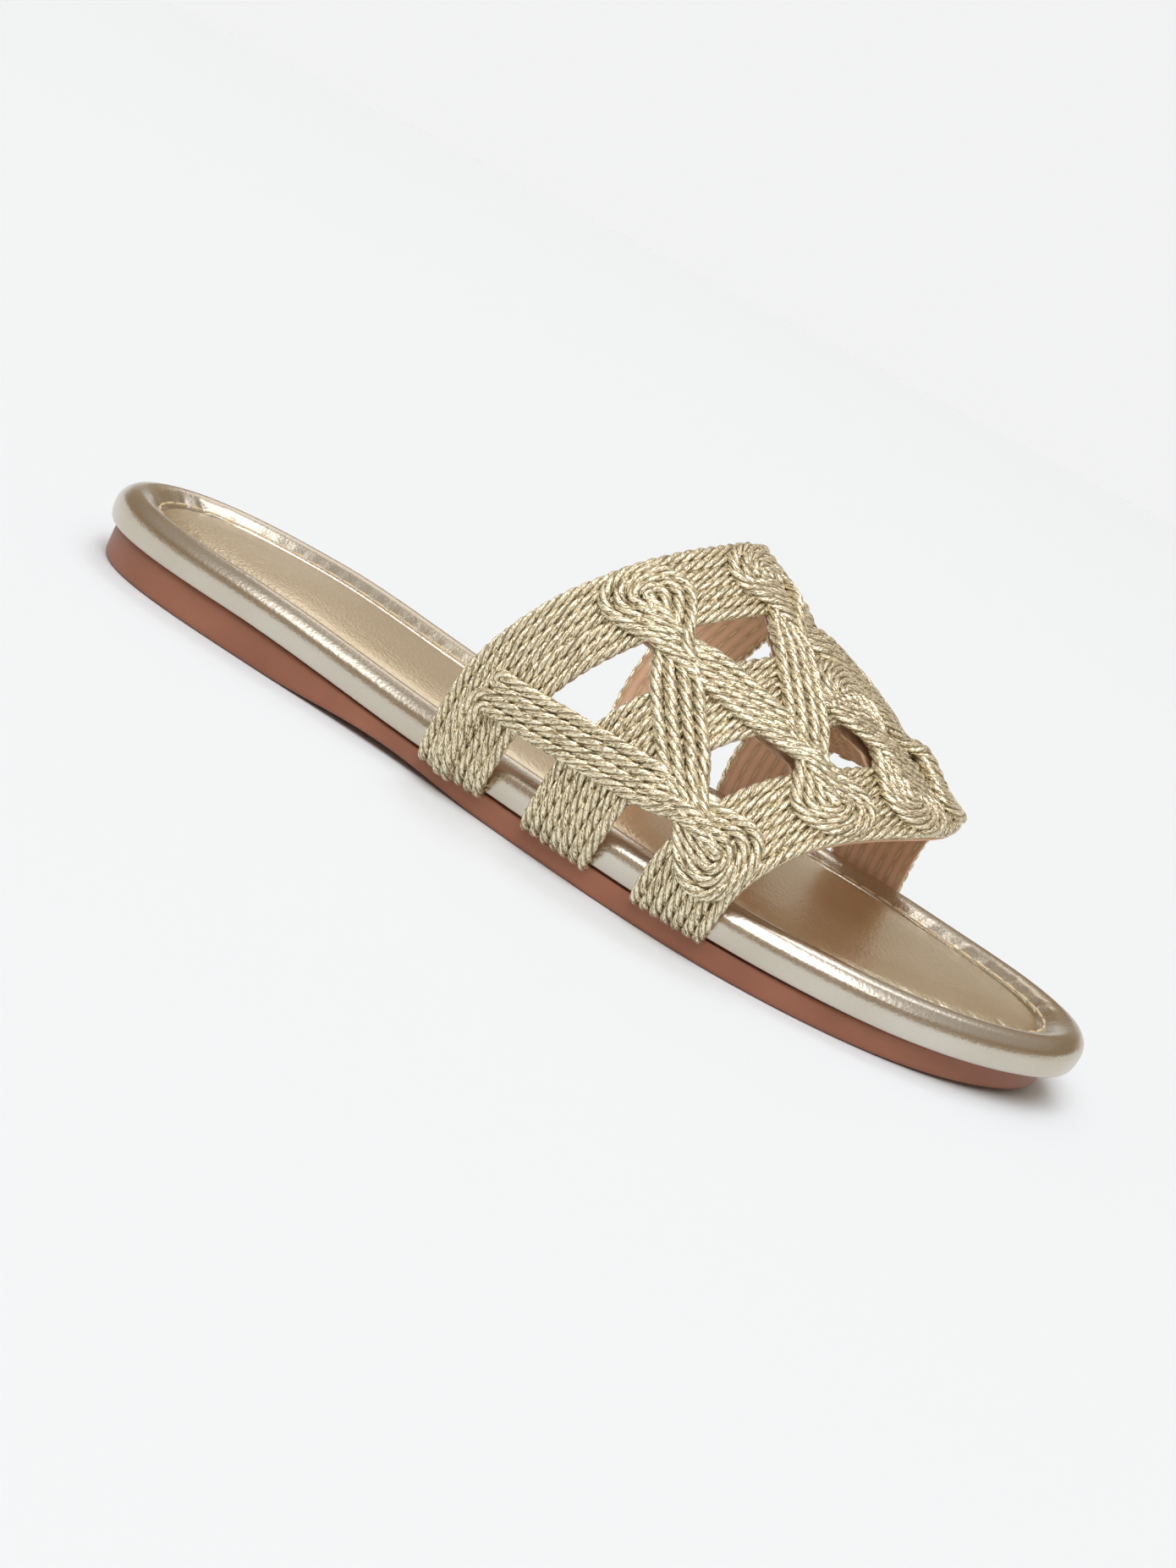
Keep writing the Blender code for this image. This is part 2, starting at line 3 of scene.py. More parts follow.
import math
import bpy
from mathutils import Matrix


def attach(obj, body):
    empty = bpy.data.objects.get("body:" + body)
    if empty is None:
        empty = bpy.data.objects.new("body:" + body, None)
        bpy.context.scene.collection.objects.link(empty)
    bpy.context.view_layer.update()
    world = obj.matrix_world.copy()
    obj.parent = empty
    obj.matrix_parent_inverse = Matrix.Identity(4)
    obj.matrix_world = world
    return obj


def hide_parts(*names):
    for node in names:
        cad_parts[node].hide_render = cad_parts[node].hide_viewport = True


bl_info = {
    "name": "Rope slide mule",
    "version": (1, 0, 0),
    "blender": (4, 5, 0),
    "location": "3D View > Sidebar > Mule",
    "description": "Builds the dressed model of a flat rope slide mule round its solids",
    "category": "Object",
}

from collections import namedtuple
from functools import partial

import bmesh
import bpy
import numpy as np
from bpy.props import FloatProperty, FloatVectorProperty, IntProperty, PointerProperty
from mathutils import Matrix, Vector
from mathutils.geometry import delaunay_2d_cdt
from mathutils.kdtree import KDTree

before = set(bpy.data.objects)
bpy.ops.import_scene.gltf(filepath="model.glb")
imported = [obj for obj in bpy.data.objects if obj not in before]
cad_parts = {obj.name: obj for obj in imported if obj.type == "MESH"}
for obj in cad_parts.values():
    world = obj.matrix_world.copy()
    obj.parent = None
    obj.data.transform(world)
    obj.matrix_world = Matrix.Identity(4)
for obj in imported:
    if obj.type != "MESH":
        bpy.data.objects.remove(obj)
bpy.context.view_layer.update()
BODY = "root"
MM = 0.001


def rows_of(kind, *rows):
    """Named rows of a table."""
    return [kind(*row) for row in rows]


# Sizes of the foot, in millimetres, as in the part's solids. Stations run from the heel to the toe,
# in percent of the length, and widths are in percent of the ball width.
FOOT_LENGTH = 249.0
BALL_WIDTH = 91.4
INSTEP_HEIGHT = 70.6
HEEL_LIFT = 2.5
OUTSOLE_THICK = 5.5
ARCH_RISE = 1.6
TOE_SPRING = 2.4
GAP = 0.3
SIDE_SHIFT = 0.7
HEEL_LIFT_SPAN = (18.0, 42.0)
ARCH_SPAN = (23.5, 49.8)
TOE_SPRING_START = 82.0
OUTLINE = rows_of(
    namedtuple("OutlineRow", "station medial lateral sole_inset"),
    (0.0, 0.0, 0.0, 2.4), (2.4, 18.6, 18.6, 2.4), (8.8, 30.1, 30.1, 2.4), (20.1, 34.5, 35.0, 2.2),
    (37.8, 32.8, 38.8, 1.4), (55.4, 40.3, 47.0, 1.2), (70.7, 49.7, 50.3, 1.2), (83.1, 46.9, 43.5, 2.2),
    (92.5, 37.4, 30.1, 3.8), (96.4, 28.4, 20.1, 4.8), (98.55, 20.1, 11.7, 5.4), (100.0, 4.2, -4.2, 5.6),
)

# Edge sections from the underside to the top: inset from the outline and height over the layer's seat
RimRow = namedtuple("RimRow", "inset height")
OUTSOLE_EDGE = rows_of(
    RimRow, (30.0, 0.0), (1.6, 0.0), (0.5, 0.12), (0.08, 0.6), (0.0, 1.2), (0.0, 4.4), (0.05, 5.0),
    (0.3, 5.42), (0.8, 5.5), (30.0, 5.5),
)
FOOTBED_RIM = rows_of(
    RimRow, (24.0, 0.0), (2.0, 0.0), (0.55, 0.3), (0.1, 2.0), (0.0, 4.4), (0.6, 6.3), (2.2, 7.9), (4.4, 8.6),
    (6.8, 8.0), (8.3, 7.1), (9.3, 6.45), (10.3, 6.2), (10.9, 5.4), (12.0, 4.3), (14.0, 3.4), (24.0, 3.2),
)
INSOLE_EDGE = rows_of(
    RimRow, (24.0, 3.5), (11.6, 3.5), (10.9, 4.2), (10.75, 5.0), (11.1, 5.6), (12.2, 6.2), (14.5, 6.75),
    (18.0, 7.15), (24.0, 7.5),
)
OUTSOLE_ROWS = 46
FOOTBED_ROWS = 80
INSOLE_ROWS = 54
ROUNDING_PASSES = 3
DEEPEST_INSET = 24.0
PER_SIDE = 150
FINE_PER_SIDE = 400

# Stitched channel between rim and sock, and the puckers of the leather at its stitches
CHANNEL_INSET = 9.7
CHANNEL_HEIGHT = 6.3
PUCKER_DEPTH = 0.1
# Insets where the puckers start, are deepest and end, and their share of the depth
PuckerRow = namedtuple("PuckerRow", "outer middle inner share")
RIM_PUCKER = PuckerRow(5.6, 9.0, 11.2, 0.6)
SOCK_PUCKER = PuckerRow(10.6, 11.4, 15.5, 0.4)
# Creases of the leather: where they leave the stitch line, how deep and wide, and how they lean
CREASES = rows_of(
    namedtuple("CreaseRow", "station side depth width lean"),
    (244.5, 1, 0.40, 1.0, 0.1), (241.0, 1, 0.55, 0.9, 0.3), (236.5, 1, 0.35, 1.1, 0.2),
    (231.0, 1, 0.60, 0.9, 0.45), (224.0, 1, 0.45, 1.2, 0.4), (216.5, 1, 0.55, 1.0, 0.6),
    (207.0, 1, 0.35, 1.2, 0.5), (196.0, 1, 0.25, 1.4, 0.6), (246.0, -1, 0.45, 1.0, -0.1),
    (242.0, -1, 0.50, 0.9, -0.3), (235.5, -1, 0.40, 1.0, -0.4), (228.0, -1, 0.55, 0.9, -0.5),
    (218.5, -1, 0.35, 1.2, -0.4), (205.0, -1, 0.25, 1.3, -0.6), (1.5, 1, 0.40, 1.0, 0.2),
    (5.5, 1, 0.50, 0.9, -0.3), (13.0, 1, 0.35, 1.2, -0.4), (3.0, -1, 0.45, 1.0, 0.3),
    (9.0, -1, 0.50, 0.9, 0.4), (19.0, -1, 0.30, 1.3, 0.4),
)

# Sections of the last under the upper's front and back edge
ArchRow = namedtuple(
    "ArchRow",
    "lateral_station crest_station medial_station crest_x crest_height squareness"
    " lateral_bulge medial_bulge lean",
)
FRONT_EDGE = ArchRow(70.4, 80.9, 78.3, 3.3, 53.8, 2.25, 2.2, 3.8, 0.92)
BACK_EDGE = ArchRow(41.0, 54.0, 47.0, 2.2, 100.0, 2.15, 4.9, 10.9, 0.82)
WALL_LENGTH = 76.0
RIM_MID_HEIGHT = 4.4
RIM_CLEARANCE = 0.9
ARCH_SAMPLES = 90
TUCK_IN = 3.0
TUCK_TURN = math.radians(62.0)
TUCK_ROWS = 24
UNDER_RIM = 3.0

# Ropes in the flat pattern of the upper: bands by the start of each, coils by band and share of the girth
BAND_ROPES = 7
BAND_WIDTH = 18.0
BAND_PITCH = BAND_WIDTH / BAND_ROPES
STRIP_ROPES = 4
STRIP_WIDTH = 9.0
STRIP_PITCH = STRIP_WIDTH / STRIP_ROPES
BANDS = rows_of(namedtuple("BandRow", "name start"), ("front", 0.0), ("middle", 29.0), ("back", 58.0))
CoilRow = namedtuple("CoilRow", "band turn shift radius")
ZIGZAG = rows_of(
    CoilRow, ("back", -0.76, 0.0, 8.2), ("front", -0.77, 0.0, 8.2), ("back", -0.39, 0.0, 8.2),
    ("front", -0.43, 0.0, 8.2), ("back", -0.09, 0.0, 8.2), ("front", 0.21, 0.0, 8.2),
    ("back", 0.32, 0.0, 8.2), ("front", 0.56, 0.0, 8.2), ("back", 0.71, 0.0, 8.2),
)
FIGURE_EIGHT = rows_of(CoilRow, ("middle", -0.10, -3.0, 9.2), ("front", -0.12, 0.0, 9.2))
# Ropes of the arriving strip over the leaving one at a turn: inner ones, or outer ones where negative
OVER_AT_FRONT = 2
OVER_AT_BACK = -1

# Lie of the ropes over the last, and how uneven they are laid
BAND_ROPE_LIE = 1.75
STRIP_ROPE_LIE = 3.35
STRIP_SAG = 0.8
CROSS_RISE = 1.8
CROSS_MIDDLE = 0.4
CROSS_SINK = 1.0
CROSS_REACH = 6.5
NECK_SQUEEZE = 0.34
PATH_STEP = 0.6
END_TURN_RADIUS = 2.0
ROPE_TUCK = 4.2
ROPE_END_LIE = 0.2
END_TAPER_LENGTH = 5.0
END_TAPER = 0.5
WOBBLE_SIDE = 0.13
WOBBLE_LIE = 0.12
WOBBLE_LENGTH = 6.0
ZIGZAG_SEED = 11
FIGURE_EIGHT_SEED = 21

# Lining: its cut edge shows along the front of the upper, and stays hidden in the openings
LINING_THICK = 0.7
FRONT_LINING_INSET = 0.1
BAND_LINING_INSET = 0.7
STRIP_LINING_INSET = 1.5
LINING_STEP = 1.3
LINING_REACH = 95.0
BAND_EDGE_POINTS = 110
OUTLINE_STRIDE = 3
SAME_PLACE = 0.01
PUFF = 0.24
STITCH_REACH = 1.15
THREAD_SINK = 0.08
STAGGER = 4

# Streaks of the cord: repeats in a metre of it, repeats round it and detail
StreakRow = namedtuple("StreakRow", "along around detail")
FILAMENT = StreakRow(700.0, 48.0, 2.0)
FLECK = StreakRow(1600.0, 26.0, 1.0)
STRAND_SPREAD = 60.0

# Stage: camera in millimetres, focus in pixels of the image's height, lamps in metres and watts
CAMERA_PLACE = (-515.6, -131.0, 143.3)
CAMERA_AIM = (0.0, -4.0, 9.0)
CAMERA_ROLL = math.radians(27.7)
CAMERA_FOCUS = 2950.0
IMAGE_HEIGHT = 1853
SENSOR = 36.0
NEAR_CLIP = 0.01
FLOOR_REACH = 2.4
FLOOR_SIDES = 64
LIGHTS = rows_of(
    namedtuple("LightRow", "name place width height power"),
    ("key_strip", (-2.4, -0.3, 2.55), 3.9, 0.36, 12.4),
    ("top_softbox", (0.9, 0.3, 3.9), 1.2, 1.2, 6.4),
    ("back_softbox", (2.7, 1.2, 2.4), 0.9, 1.2, 3.6),
)
# Surroundings by the sine of the elevation: white low screens and a dim warm room above them
SURROUNDINGS = [
    (0.0, (0.884, 0.890, 0.887)),
    (0.12, (0.884, 0.890, 0.887)),
    (0.2, (0.36, 0.27, 0.18)),
    (0.5, (0.36, 0.27, 0.18)),
    (0.72, (0.46, 0.41, 0.35)),
]
# Round softbox high over the lateral side of the shoe, and its fainter bounce over the medial side
SOFTBOX_TILT = math.radians(60.0)
SOFTBOX_EDGE = (0.9, 0.96)
SOFTBOX_LIGHT = (4.6, 4.66, 4.8, 1.0)
BOUNCE_SHARE = 0.7


def hex_linear(code):
    """Linear colour of an sRGB hex value."""
    parts = [int(code[i:i + 2], 16) / 255.0 for i in (1, 3, 5)]
    return tuple(c / 12.92 if c <= 0.04045 else ((c + 0.055) / 1.055) ** 2.4 for c in parts) + (1.0,)


def length(name, description, size):
    """Property of a length, with its default in millimetres."""
    return FloatProperty(name=name, description=description, default=size * MM, unit="LENGTH")


def tint(name, description, code):
    """Property of a colour, with its default as an sRGB hex value."""
    return FloatVectorProperty(
        name=name, description=description, default=hex_linear(code), subtype="COLOR", size=4,
    )


class MuleRope(bpy.types.PropertyGroup):
    """Sizes of the cord and its sewing."""

    crown: length("Cord radius", "Radius over the plies", 1.4)
    groove: length("Groove radius", "Radius between the plies", 0.9)
    lay: length("Lay length", "Length of one turn of the plies", 12.0)
    plies: IntProperty(name="Plies", description="Plies twisted into the cord", default=4)
    sides: IntProperty(name="Sides", description="Points round the cord", default=20)
    stitch: length("Stitch", "Length of a lining stitch", 3.4)
    stitch_step: length("Stitch step", "Lining stitch spacing", 4.6)
    thread: length("Thread", "Radius of the sewing thread", 0.26)
    channel_stitch: length("Channel stitch", "Length of a stitch in the footbed's channel", 4.2)
    channel_step: length("Channel step", "Spacing of the channel's stitches", 4.6)
    channel_thread: length("Channel thread", "Radius of the channel's thread", 0.36)


class MuleColours(bpy.types.PropertyGroup):
    """Colours of the mule's materials."""

    cord_light: tint("Cord light", "Bright filaments of the metallic cord", "#FFF5D8")
    # cord_dark is also the painted shade in the grooves between the plies
    cord_dark: tint("Cord dark", "Duller filaments of the metallic cord", "#7E693C")
    foil: tint("Foil", "Champagne foil of the footbed", "#D2CBBF")
    foil_worn: tint("Foil dark", "Foil where it is stretched thin", "#C3B9A6")
    sock: tint("Sock foil", "Warmer foil of the padded sock", "#EEE2CA")
    sock_worn: tint("Sock foil dark", "Sock foil where it is stretched thin", "#E2D3B6")
    lining: tint("Lining", "Tan lining leather", "#E4BE9F")
    # lining_dark is the painted shade in the dips along the rows of sewing, and the darker clouds of the
    # leather
    lining_dark: tint("Lining dark", "Tan leather in its creases", "#B48D71")
    rubber: tint("Rubber", "Brown outsole rubber", "#9A6248")
    rubber_dark: tint("Rubber dark", "Darker clouds in the rubber", "#86523A")
    thread: tint("Thread", "Sewing thread", "#D8C4A0")
    floor: tint("Floor", "Pale floor", "#EAF0F5")


# Form of the sole and of the last


def natural_spline(knots, values):
    """Return a smooth function through the values at the knots."""
    x = np.asarray(knots, float)
    y = np.asarray(values, float)
    span = np.diff(x)
    count = len(x)
    matrix = np.eye(count)
    right = np.zeros(count)
    for i in range(1, count - 1):
        matrix[i, i - 1:i + 2] = span[i - 1], 2.0 * (span[i - 1] + span[i]), span[i]
        right[i] = 6.0 * ((y[i + 1] - y[i]) / span[i] - (y[i] - y[i - 1]) / span[i - 1])
    bend = np.linalg.solve(matrix, right)

    def value_at(place):
        i = np.clip(np.searchsorted(x, place) - 1, 0, count - 2)
        ahead = x[i + 1] - place
        behind = place - x[i]
        cubic = (bend[i] * ahead ** 3 + bend[i + 1] * behind ** 3) / (6.0 * span[i])
        low = (y[i] / span[i] - bend[i] * span[i] / 6.0) * ahead
        high = (y[i + 1] / span[i] - bend[i + 1] * span[i] / 6.0) * behind
        return cubic + low + high

    return value_at


def of_length(percent):
    """Station of a place given in percent of the foot's length."""
    return np.asarray(percent, float) * FOOT_LENGTH / 100.0


def of_ball(percent):
    """Size given in percent of the ball width."""
    return np.asarray(percent, float) * BALL_WIDTH / 100.0


def sole_turn(station):
    """Angle round the sole for a station: 0 at the heel, pi at the toe."""
    return np.arccos(np.clip(1.0 - 2.0 * np.asarray(station, float) / FOOT_LENGTH, -1.0, 1.0))


SOLE_TURNS = sole_turn(of_length([row.station for row in OUTLINE]))
MEDIAL_WIDTH = natural_spline(SOLE_TURNS, of_ball([row.medial for row in OUTLINE]))
LATERAL_WIDTH = natural_spline(SOLE_TURNS, of_ball([row.lateral for row in OUTLINE]))
SOLE_INSET = natural_spline(SOLE_TURNS, [row.sole_inset for row in OUTLINE])


def smooth_step(value):
    """Ease from 0 to 1."""
    k = np.clip(value, 0.0, 1.0)
    return k * k * (3.0 - 2.0 * k)


def toe_rise(station):
    """Lift of the whole sole towards the toe."""
    start = of_length(TOE_SPRING_START)
    ahead = np.clip((np.asarray(station) - start) / (FOOT_LENGTH - start), 0.0, 1.0)
    return TOE_SPRING * ahead ** 2


def ground_height(station):
    """Height of the walking face: flat heel and forefoot, raised arch, toe spring."""
    start, end = of_length(ARCH_SPAN)
    inside = np.clip((np.asarray(station) - start) / (end - start), 0.0, 1.0)
    return ARCH_RISE * np.sin(math.pi * inside) ** 2 + toe_rise(station)


def seat_height(station):
    """Height of the outsole's upper face."""
    start, end = of_length(HEEL_LIFT_SPAN)
    heel = 1.0 - smooth_step((np.asarray(station) - start) / (end - start))
    return OUTSOLE_THICK + HEEL_LIFT * heel + toe_rise(station)


def sole_ring(inset, per_side):
    """Plan places (x, station) round the sole, moved inwards by an inset for each place."""
    turns = np.linspace(0.0, math.pi, per_side + 1)
    stations = FOOT_LENGTH / 2.0 * (1.0 - np.cos(turns))
    medial = np.column_stack([MEDIAL_WIDTH(turns), stations])
    lateral = np.column_stack([-LATERAL_WIDTH(turns), stations])[-2:0:-1]
    ring = np.vstack([medial, lateral])
    ahead = np.roll(ring, -1, axis=0) - np.roll(ring, 1, axis=0)
    ahead /= np.linalg.norm(ahead, axis=1)[:, None]
    inwards = np.column_stack([-ahead[:, 1], ahead[:, 0]])
    return ring + inwards * np.reshape(inset, (-1, 1))


def outsole_inset(per_side):
    """How far the outsole stands in from the footbed's edge, for each place round the sole."""
    side = SOLE_INSET(np.linspace(0.0, math.pi, per_side + 1))
    return np.concatenate([side, side[-2:0:-1]])


def to_metres(places):
    """Places (x, station, height) in the frame's metres."""
    places = np.asarray(places, float)
    x = places[..., 0] + SIDE_SHIFT
    y = FOOT_LENGTH / 2.0 - places[..., 1]
    return np.stack([x, y, places[..., 2]], axis=-1) * MM


def smooth_rows(rows, count):
    """Finer edge section through the rows, with its corners rounded: pairs of inset and height."""
    share = np.linspace(0.0, 1.0, len(rows))
    fine = np.linspace(0.0, 1.0, count)
    lines = [np.interp(fine, share, line) for line in zip(*rows)]
    for line in lines * ROUNDING_PASSES:
        line[1:-1] = (line[:-2] + 2.0 * line[1:-1] + line[2:]) / 4.0
    return list(zip(*lines))


def run_length(path):
    """Distance of each place of a path from its first place."""
    return np.append(0.0, np.cumsum(np.linalg.norm(np.diff(path, axis=0), axis=1)))


def arch_row(along):
    """Sizes of the arch at a distance from the upper's front edge, in millimetres."""
    share = along / WALL_LENGTH
    row = ArchRow(*[front + (back - front) * share for front, back in zip(FRONT_EDGE, BACK_EDGE)])
    return row._replace(
        lateral_station=float(of_length(row.lateral_station)),
        crest_station=float(of_length(row.crest_station)),
        medial_station=float(of_length(row.medial_station)),
        crest_x=float(of_ball(row.crest_x)),
        crest_height=row.crest_height * INSTEP_HEIGHT / 100.0,
        lateral_bulge=float(of_ball(row.lateral_bulge)),
        medial_bulge=float(of_ball(row.medial_bulge)),
    )


def arch_profile(row):
    """Inner face of the upper from the lateral to the medial base: places (x, height)."""
    sides = []
    for side, station, bulge, width in (
        (-1, row.lateral_station, row.lateral_bulge, LATERAL_WIDTH),
        (1, row.medial_station, row.medial_bulge, MEDIAL_WIDTH),
    ):
        rim = float(seat_height(station)) + GAP + RIM_MID_HEIGHT
        edge = side * (float(width(sole_turn(station))) + RIM_CLEARANCE)
        turn = np.linspace(math.pi / 2.0, 0.0, TUCK_ROWS)
        tuck_x = edge - side * TUCK_IN * (1.0 - np.cos(turn))
        tuck_height = rim - RIM_MID_HEIGHT * np.sin(turn)
        tuck_x = np.append(tuck_x[0] - side * UNDER_RIM, tuck_x)
        tuck_height = np.append(tuck_height[0], tuck_height)
        turn = np.linspace(0.0, math.pi / 2.0, ARCH_SAMPLES)[1:]
        arch_x = row.crest_x + (edge - row.crest_x) * np.cos(turn) ** (2.0 / row.squareness)
        arch_x = arch_x + side * bulge * np.sin(2.0 * turn)
        arch_height = rim + (row.crest_height - rim) * np.sin(turn) ** (2.0 / row.squareness)
        sides.append(np.column_stack([np.append(tuck_x, arch_x), np.append(tuck_height, arch_height)]))
    return np.vstack([sides[0], sides[1][-2::-1]])


def tuck_length(run):
    """Length of the profile below the lateral and the medial base."""
    share = 1.0 + (1.0 - TUCK_TURN / (math.pi / 2.0)) * (TUCK_ROWS - 1)
    low = np.interp(share, np.arange(len(run)), run)
    high = run[-1] - np.interp(len(run) - 1 - share, np.arange(len(run)), run)
    return low, high


class Last:
    """The upper's inner face as a fine table of points and outward directions."""

    STEP = 0.5
    MARGIN = 1.0
    COLUMNS = 601
    REACH = 1.07

    def __init__(self):
        self.along = np.arange(-self.MARGIN, WALL_LENGTH + self.MARGIN + self.STEP / 2.0, self.STEP)
        turns = np.linspace(-self.REACH, self.REACH, self.COLUMNS)
        points = []
        girths = []
        for along in self.along:
            row = arch_row(along)
            profile = arch_profile(row)
            run = run_length(profile)
            base = tuck_length(run)
            half = (run[-1] - base[0] - base[1]) / 2.0
            place = base[0] + half + turns * half
            lean = np.sin(math.pi / 2.0 * np.minimum(np.abs(turns) / row.lean, 1.0)) ** 2
            skew = (row.medial_station - row.lateral_station) / 2.0
            sweep = (row.medial_station + row.lateral_station) / 2.0 - row.crest_station
            x = np.interp(place, run, profile[:, 0])
            height = np.interp(place, run, profile[:, 1])
            points.append(np.column_stack([x, row.crest_station + skew * turns + sweep * lean, height]))
            girths.append(half)
        self.points = np.array(points)
        self.girths = np.array(girths)
        outward = np.cross(np.gradient(self.points, axis=0), np.gradient(self.points, axis=1))
        self.outward = outward / np.linalg.norm(outward, axis=2)[:, :, None]

    def girth(self, along):
        """Half the length of the arch at a distance from the front edge."""
        return np.interp(along, self.along, self.girths)

    def place(self, across, along, lie):
        """Points in metres for places of the flat pattern, raised off the inner face."""
        across, along, lie = np.broadcast_arrays(*(np.asarray(v, float) for v in (across, along, lie)))
        girth = self.girth(along)
        turn = np.clip(across / girth, -self.REACH, self.REACH)
        column = np.clip((turn / self.REACH + 1.0) / 2.0 * (self.COLUMNS - 1), 0.0, self.COLUMNS - 1.001)
        level = np.clip((along - self.along[0]) / self.STEP, 0.0, len(self.along) - 1.001)
        i = level.astype(int)
        j = column.astype(int)
        p = (level - i)[..., None]
        q = (column - j)[..., None]

        def blend(table):
            low = table[i, j] * (1.0 - q) + table[i, j + 1] * q
            high = table[i + 1, j] * (1.0 - q) + table[i + 1, j + 1] * q
            return low * (1.0 - p) + high * p

        outward = blend(self.outward)
        outward /= np.linalg.norm(outward, axis=-1)[..., None]
        inside = girth - np.abs(across)
        taper = END_TAPER + (1.0 - END_TAPER) * smooth_step(inside / END_TAPER_LENGTH)
        taper = taper - (END_TAPER - ROPE_END_LIE) * smooth_step(-inside / ROPE_TUCK)
        return to_metres(blend(self.points) + outward * (lie * taper)[..., None])


LAST = Last()


# Lie of the ropes in the flat pattern


def coil_centre(row):
    """Flat pattern place of a coil's centre."""
    start = next(band.start for band in BANDS if band.name == row.band)
    along = start + BAND_WIDTH / 2.0 + row.shift
    return np.array([row.turn * float(LAST.girth(along)), along])


class Run:
    """Straight centre line of a strip, tangent to the coils at both ends."""

    def __init__(self, start, end, start_radius, end_radius):
        reach = end - start
        distance = float(np.linalg.norm(reach))
        swing = math.asin((start_radius + end_radius) / distance)
        self.heading = math.atan2(reach[1], reach[0]) + swing
        self.ahead = np.array([math.cos(self.heading), math.sin(self.heading)])
        self.left = np.array([-self.ahead[1], self.ahead[0]])
        self.start = start - self.left * start_radius
        self.end = self.start + self.ahead * distance * math.cos(swing)


def line_places(start, end):
    """Evenly spaced places on a straight line."""
    count = max(2, int(math.ceil(np.linalg.norm(end - start) / PATH_STEP)) + 1)
    return start + np.outer(np.linspace(0.0, 1.0, count), end - start)


def arc_places(centre, radius, start_angle, sweep):
    """Evenly spaced places on an arc."""
    count = max(5, int(math.ceil(abs(sweep) * max(radius, PATH_STEP) / PATH_STEP)) + 1)
    angles = start_angle + np.linspace(0.0, sweep, count)
    return centre + radius * np.column_stack([np.cos(angles), np.sin(angles)])


def join_places(pieces):
    """One path from pieces that follow each other, with doubled places left out."""
    path = np.vstack(pieces)
    keep = np.append(True, np.linalg.norm(np.diff(path, axis=0), axis=1) > PATH_STEP / 4.0)
    return path[keep]


def strip_offsets():
    """Distances of a strip's ropes to the left of its centre line."""
    return [STRIP_PITCH * (k - (STRIP_ROPES - 1) / 2.0) for k in range(STRIP_ROPES)]


def turn_round(centre, arriving, leaving, radius, way):
    """Arc of one rope round a coil: way +1 keeps the coil on the left, -1 on the right."""
    sweep = (leaving.heading - arriving.heading) % (2.0 * math.pi)
    if way < 0.0:
        sweep -= 2.0 * math.pi
    return arc_places(centre, radius, arriving.heading - way * math.pi / 2.0, sweep)


class Crossing:
    """Neck where the strip that leaves a coil passes between the ropes of the one that arrives."""

    def __init__(self, arriving, leaving, way, over):
        matrix = np.column_stack([arriving.ahead, -leaving.ahead])
        share = np.linalg.solve(matrix, leaving.start - arriving.start)
        self.place = arriving.start + arriving.ahead * share[0]
        self.strips = (arriving, leaving)
        self.way = way
        self.over = over

    def rise(self, run, offset):
        """Lift of one rope of either strip."""
        if run is self.strips[1]:
            return CROSS_MIDDLE
        rank = (STRIP_ROPES - 1) / 2.0 - self.way * offset * STRIP_ROPES / STRIP_WIDTH
        lifted = rank < self.over - 0.5 if self.over > 0 else rank > STRIP_ROPES - 0.5 + self.over
        return CROSS_RISE if lifted else -CROSS_SINK

    def near(self, places):
        """Share from 1 at the crossing to 0 well away from it."""
        return np.exp(-np.sum((places - self.place) ** 2, axis=1) / CROSS_REACH ** 2)


def strip_lie(places):
    """Height of a strip's ropes: up on the bands, a little lower between them."""
    lie = np.full(len(places), STRIP_ROPE_LIE)
    for low, high in zip(BANDS, BANDS[1:]):
        start = low.start + BAND_WIDTH
        inside = np.clip((places[:, 1] - start) / (high.start - start), 0.0, 1.0)
        lie -= STRIP_SAG * np.sin(math.pi * inside) ** 2
    return lie


def run_rope(run, offset, crossings):
    """Places and heights of one rope of a straight strip, squeezed and lifted at its crossings."""
    centre = line_places(run.start, run.end)
    lie = strip_lie(centre)
    squeeze = np.ones(len(centre))
    for crossing in crossings:
        near = crossing.near(centre)
        squeeze -= NECK_SQUEEZE * near
        lie += crossing.rise(run, offset) * near
    return np.column_stack([centre + np.outer(offset * squeeze, run.left), lie])


def with_lie(places, lie):
    """Places with one height."""
    return np.column_stack([places, np.full(len(places), lie)])


def end_turn(run, offset, at_start):
    """Rope at an end of the zigzag: two bend to the sole, and the other two close in a hairpin."""
    point = run.start if at_start else run.end
    angle = run.heading + math.pi / 2.0
    if 0.0 < offset < STRIP_PITCH:
        return None
    if offset > 0.0:
        centre = point + run.left * STRIP_PITCH
        path = arc_places(centre, STRIP_PITCH / 2.0, angle, math.pi if at_start else -math.pi)
    else:
        shift = STRIP_WIDTH / 2.0 + END_TURN_RADIUS - STRIP_PITCH / 2.0
        centre = point - run.left * shift
        level = centre[1] + offset + shift
        side = -1.0 if at_start else 1.0
        base = np.array([side * (float(LAST.girth(level)) + ROPE_TUCK), level])
        arc = arc_places(centre, offset + shift, angle, math.pi / 2.0 - angle)
        path = join_places([arc, line_places(arc[-1], base)])
    return with_lie(path[::-1] if at_start else path, STRIP_ROPE_LIE)


def way_of(number):
    """Way round the zigzag's coil of this number: +1 keeps the coil on the left, -1 on the right."""
    return 1.0 if number % 2 == 0 else -1.0


def zigzag_runs():
    """Straight strips of the zigzag, and the centres and middle radii of its coils."""
    last = len(ZIGZAG) - 1
    centres = [coil_centre(row) for row in ZIGZAG]
    radii = [row.radius - STRIP_WIDTH / 2.0 for row in ZIGZAG]
    radii[0] = 0.0
    radii[last] = 0.0
    runs = []
    for i in range(last):
        runs.append(Run(centres[i], centres[i + 1], way_of(i) * radii[i], way_of(i) * radii[i + 1]))
    return runs, centres, radii


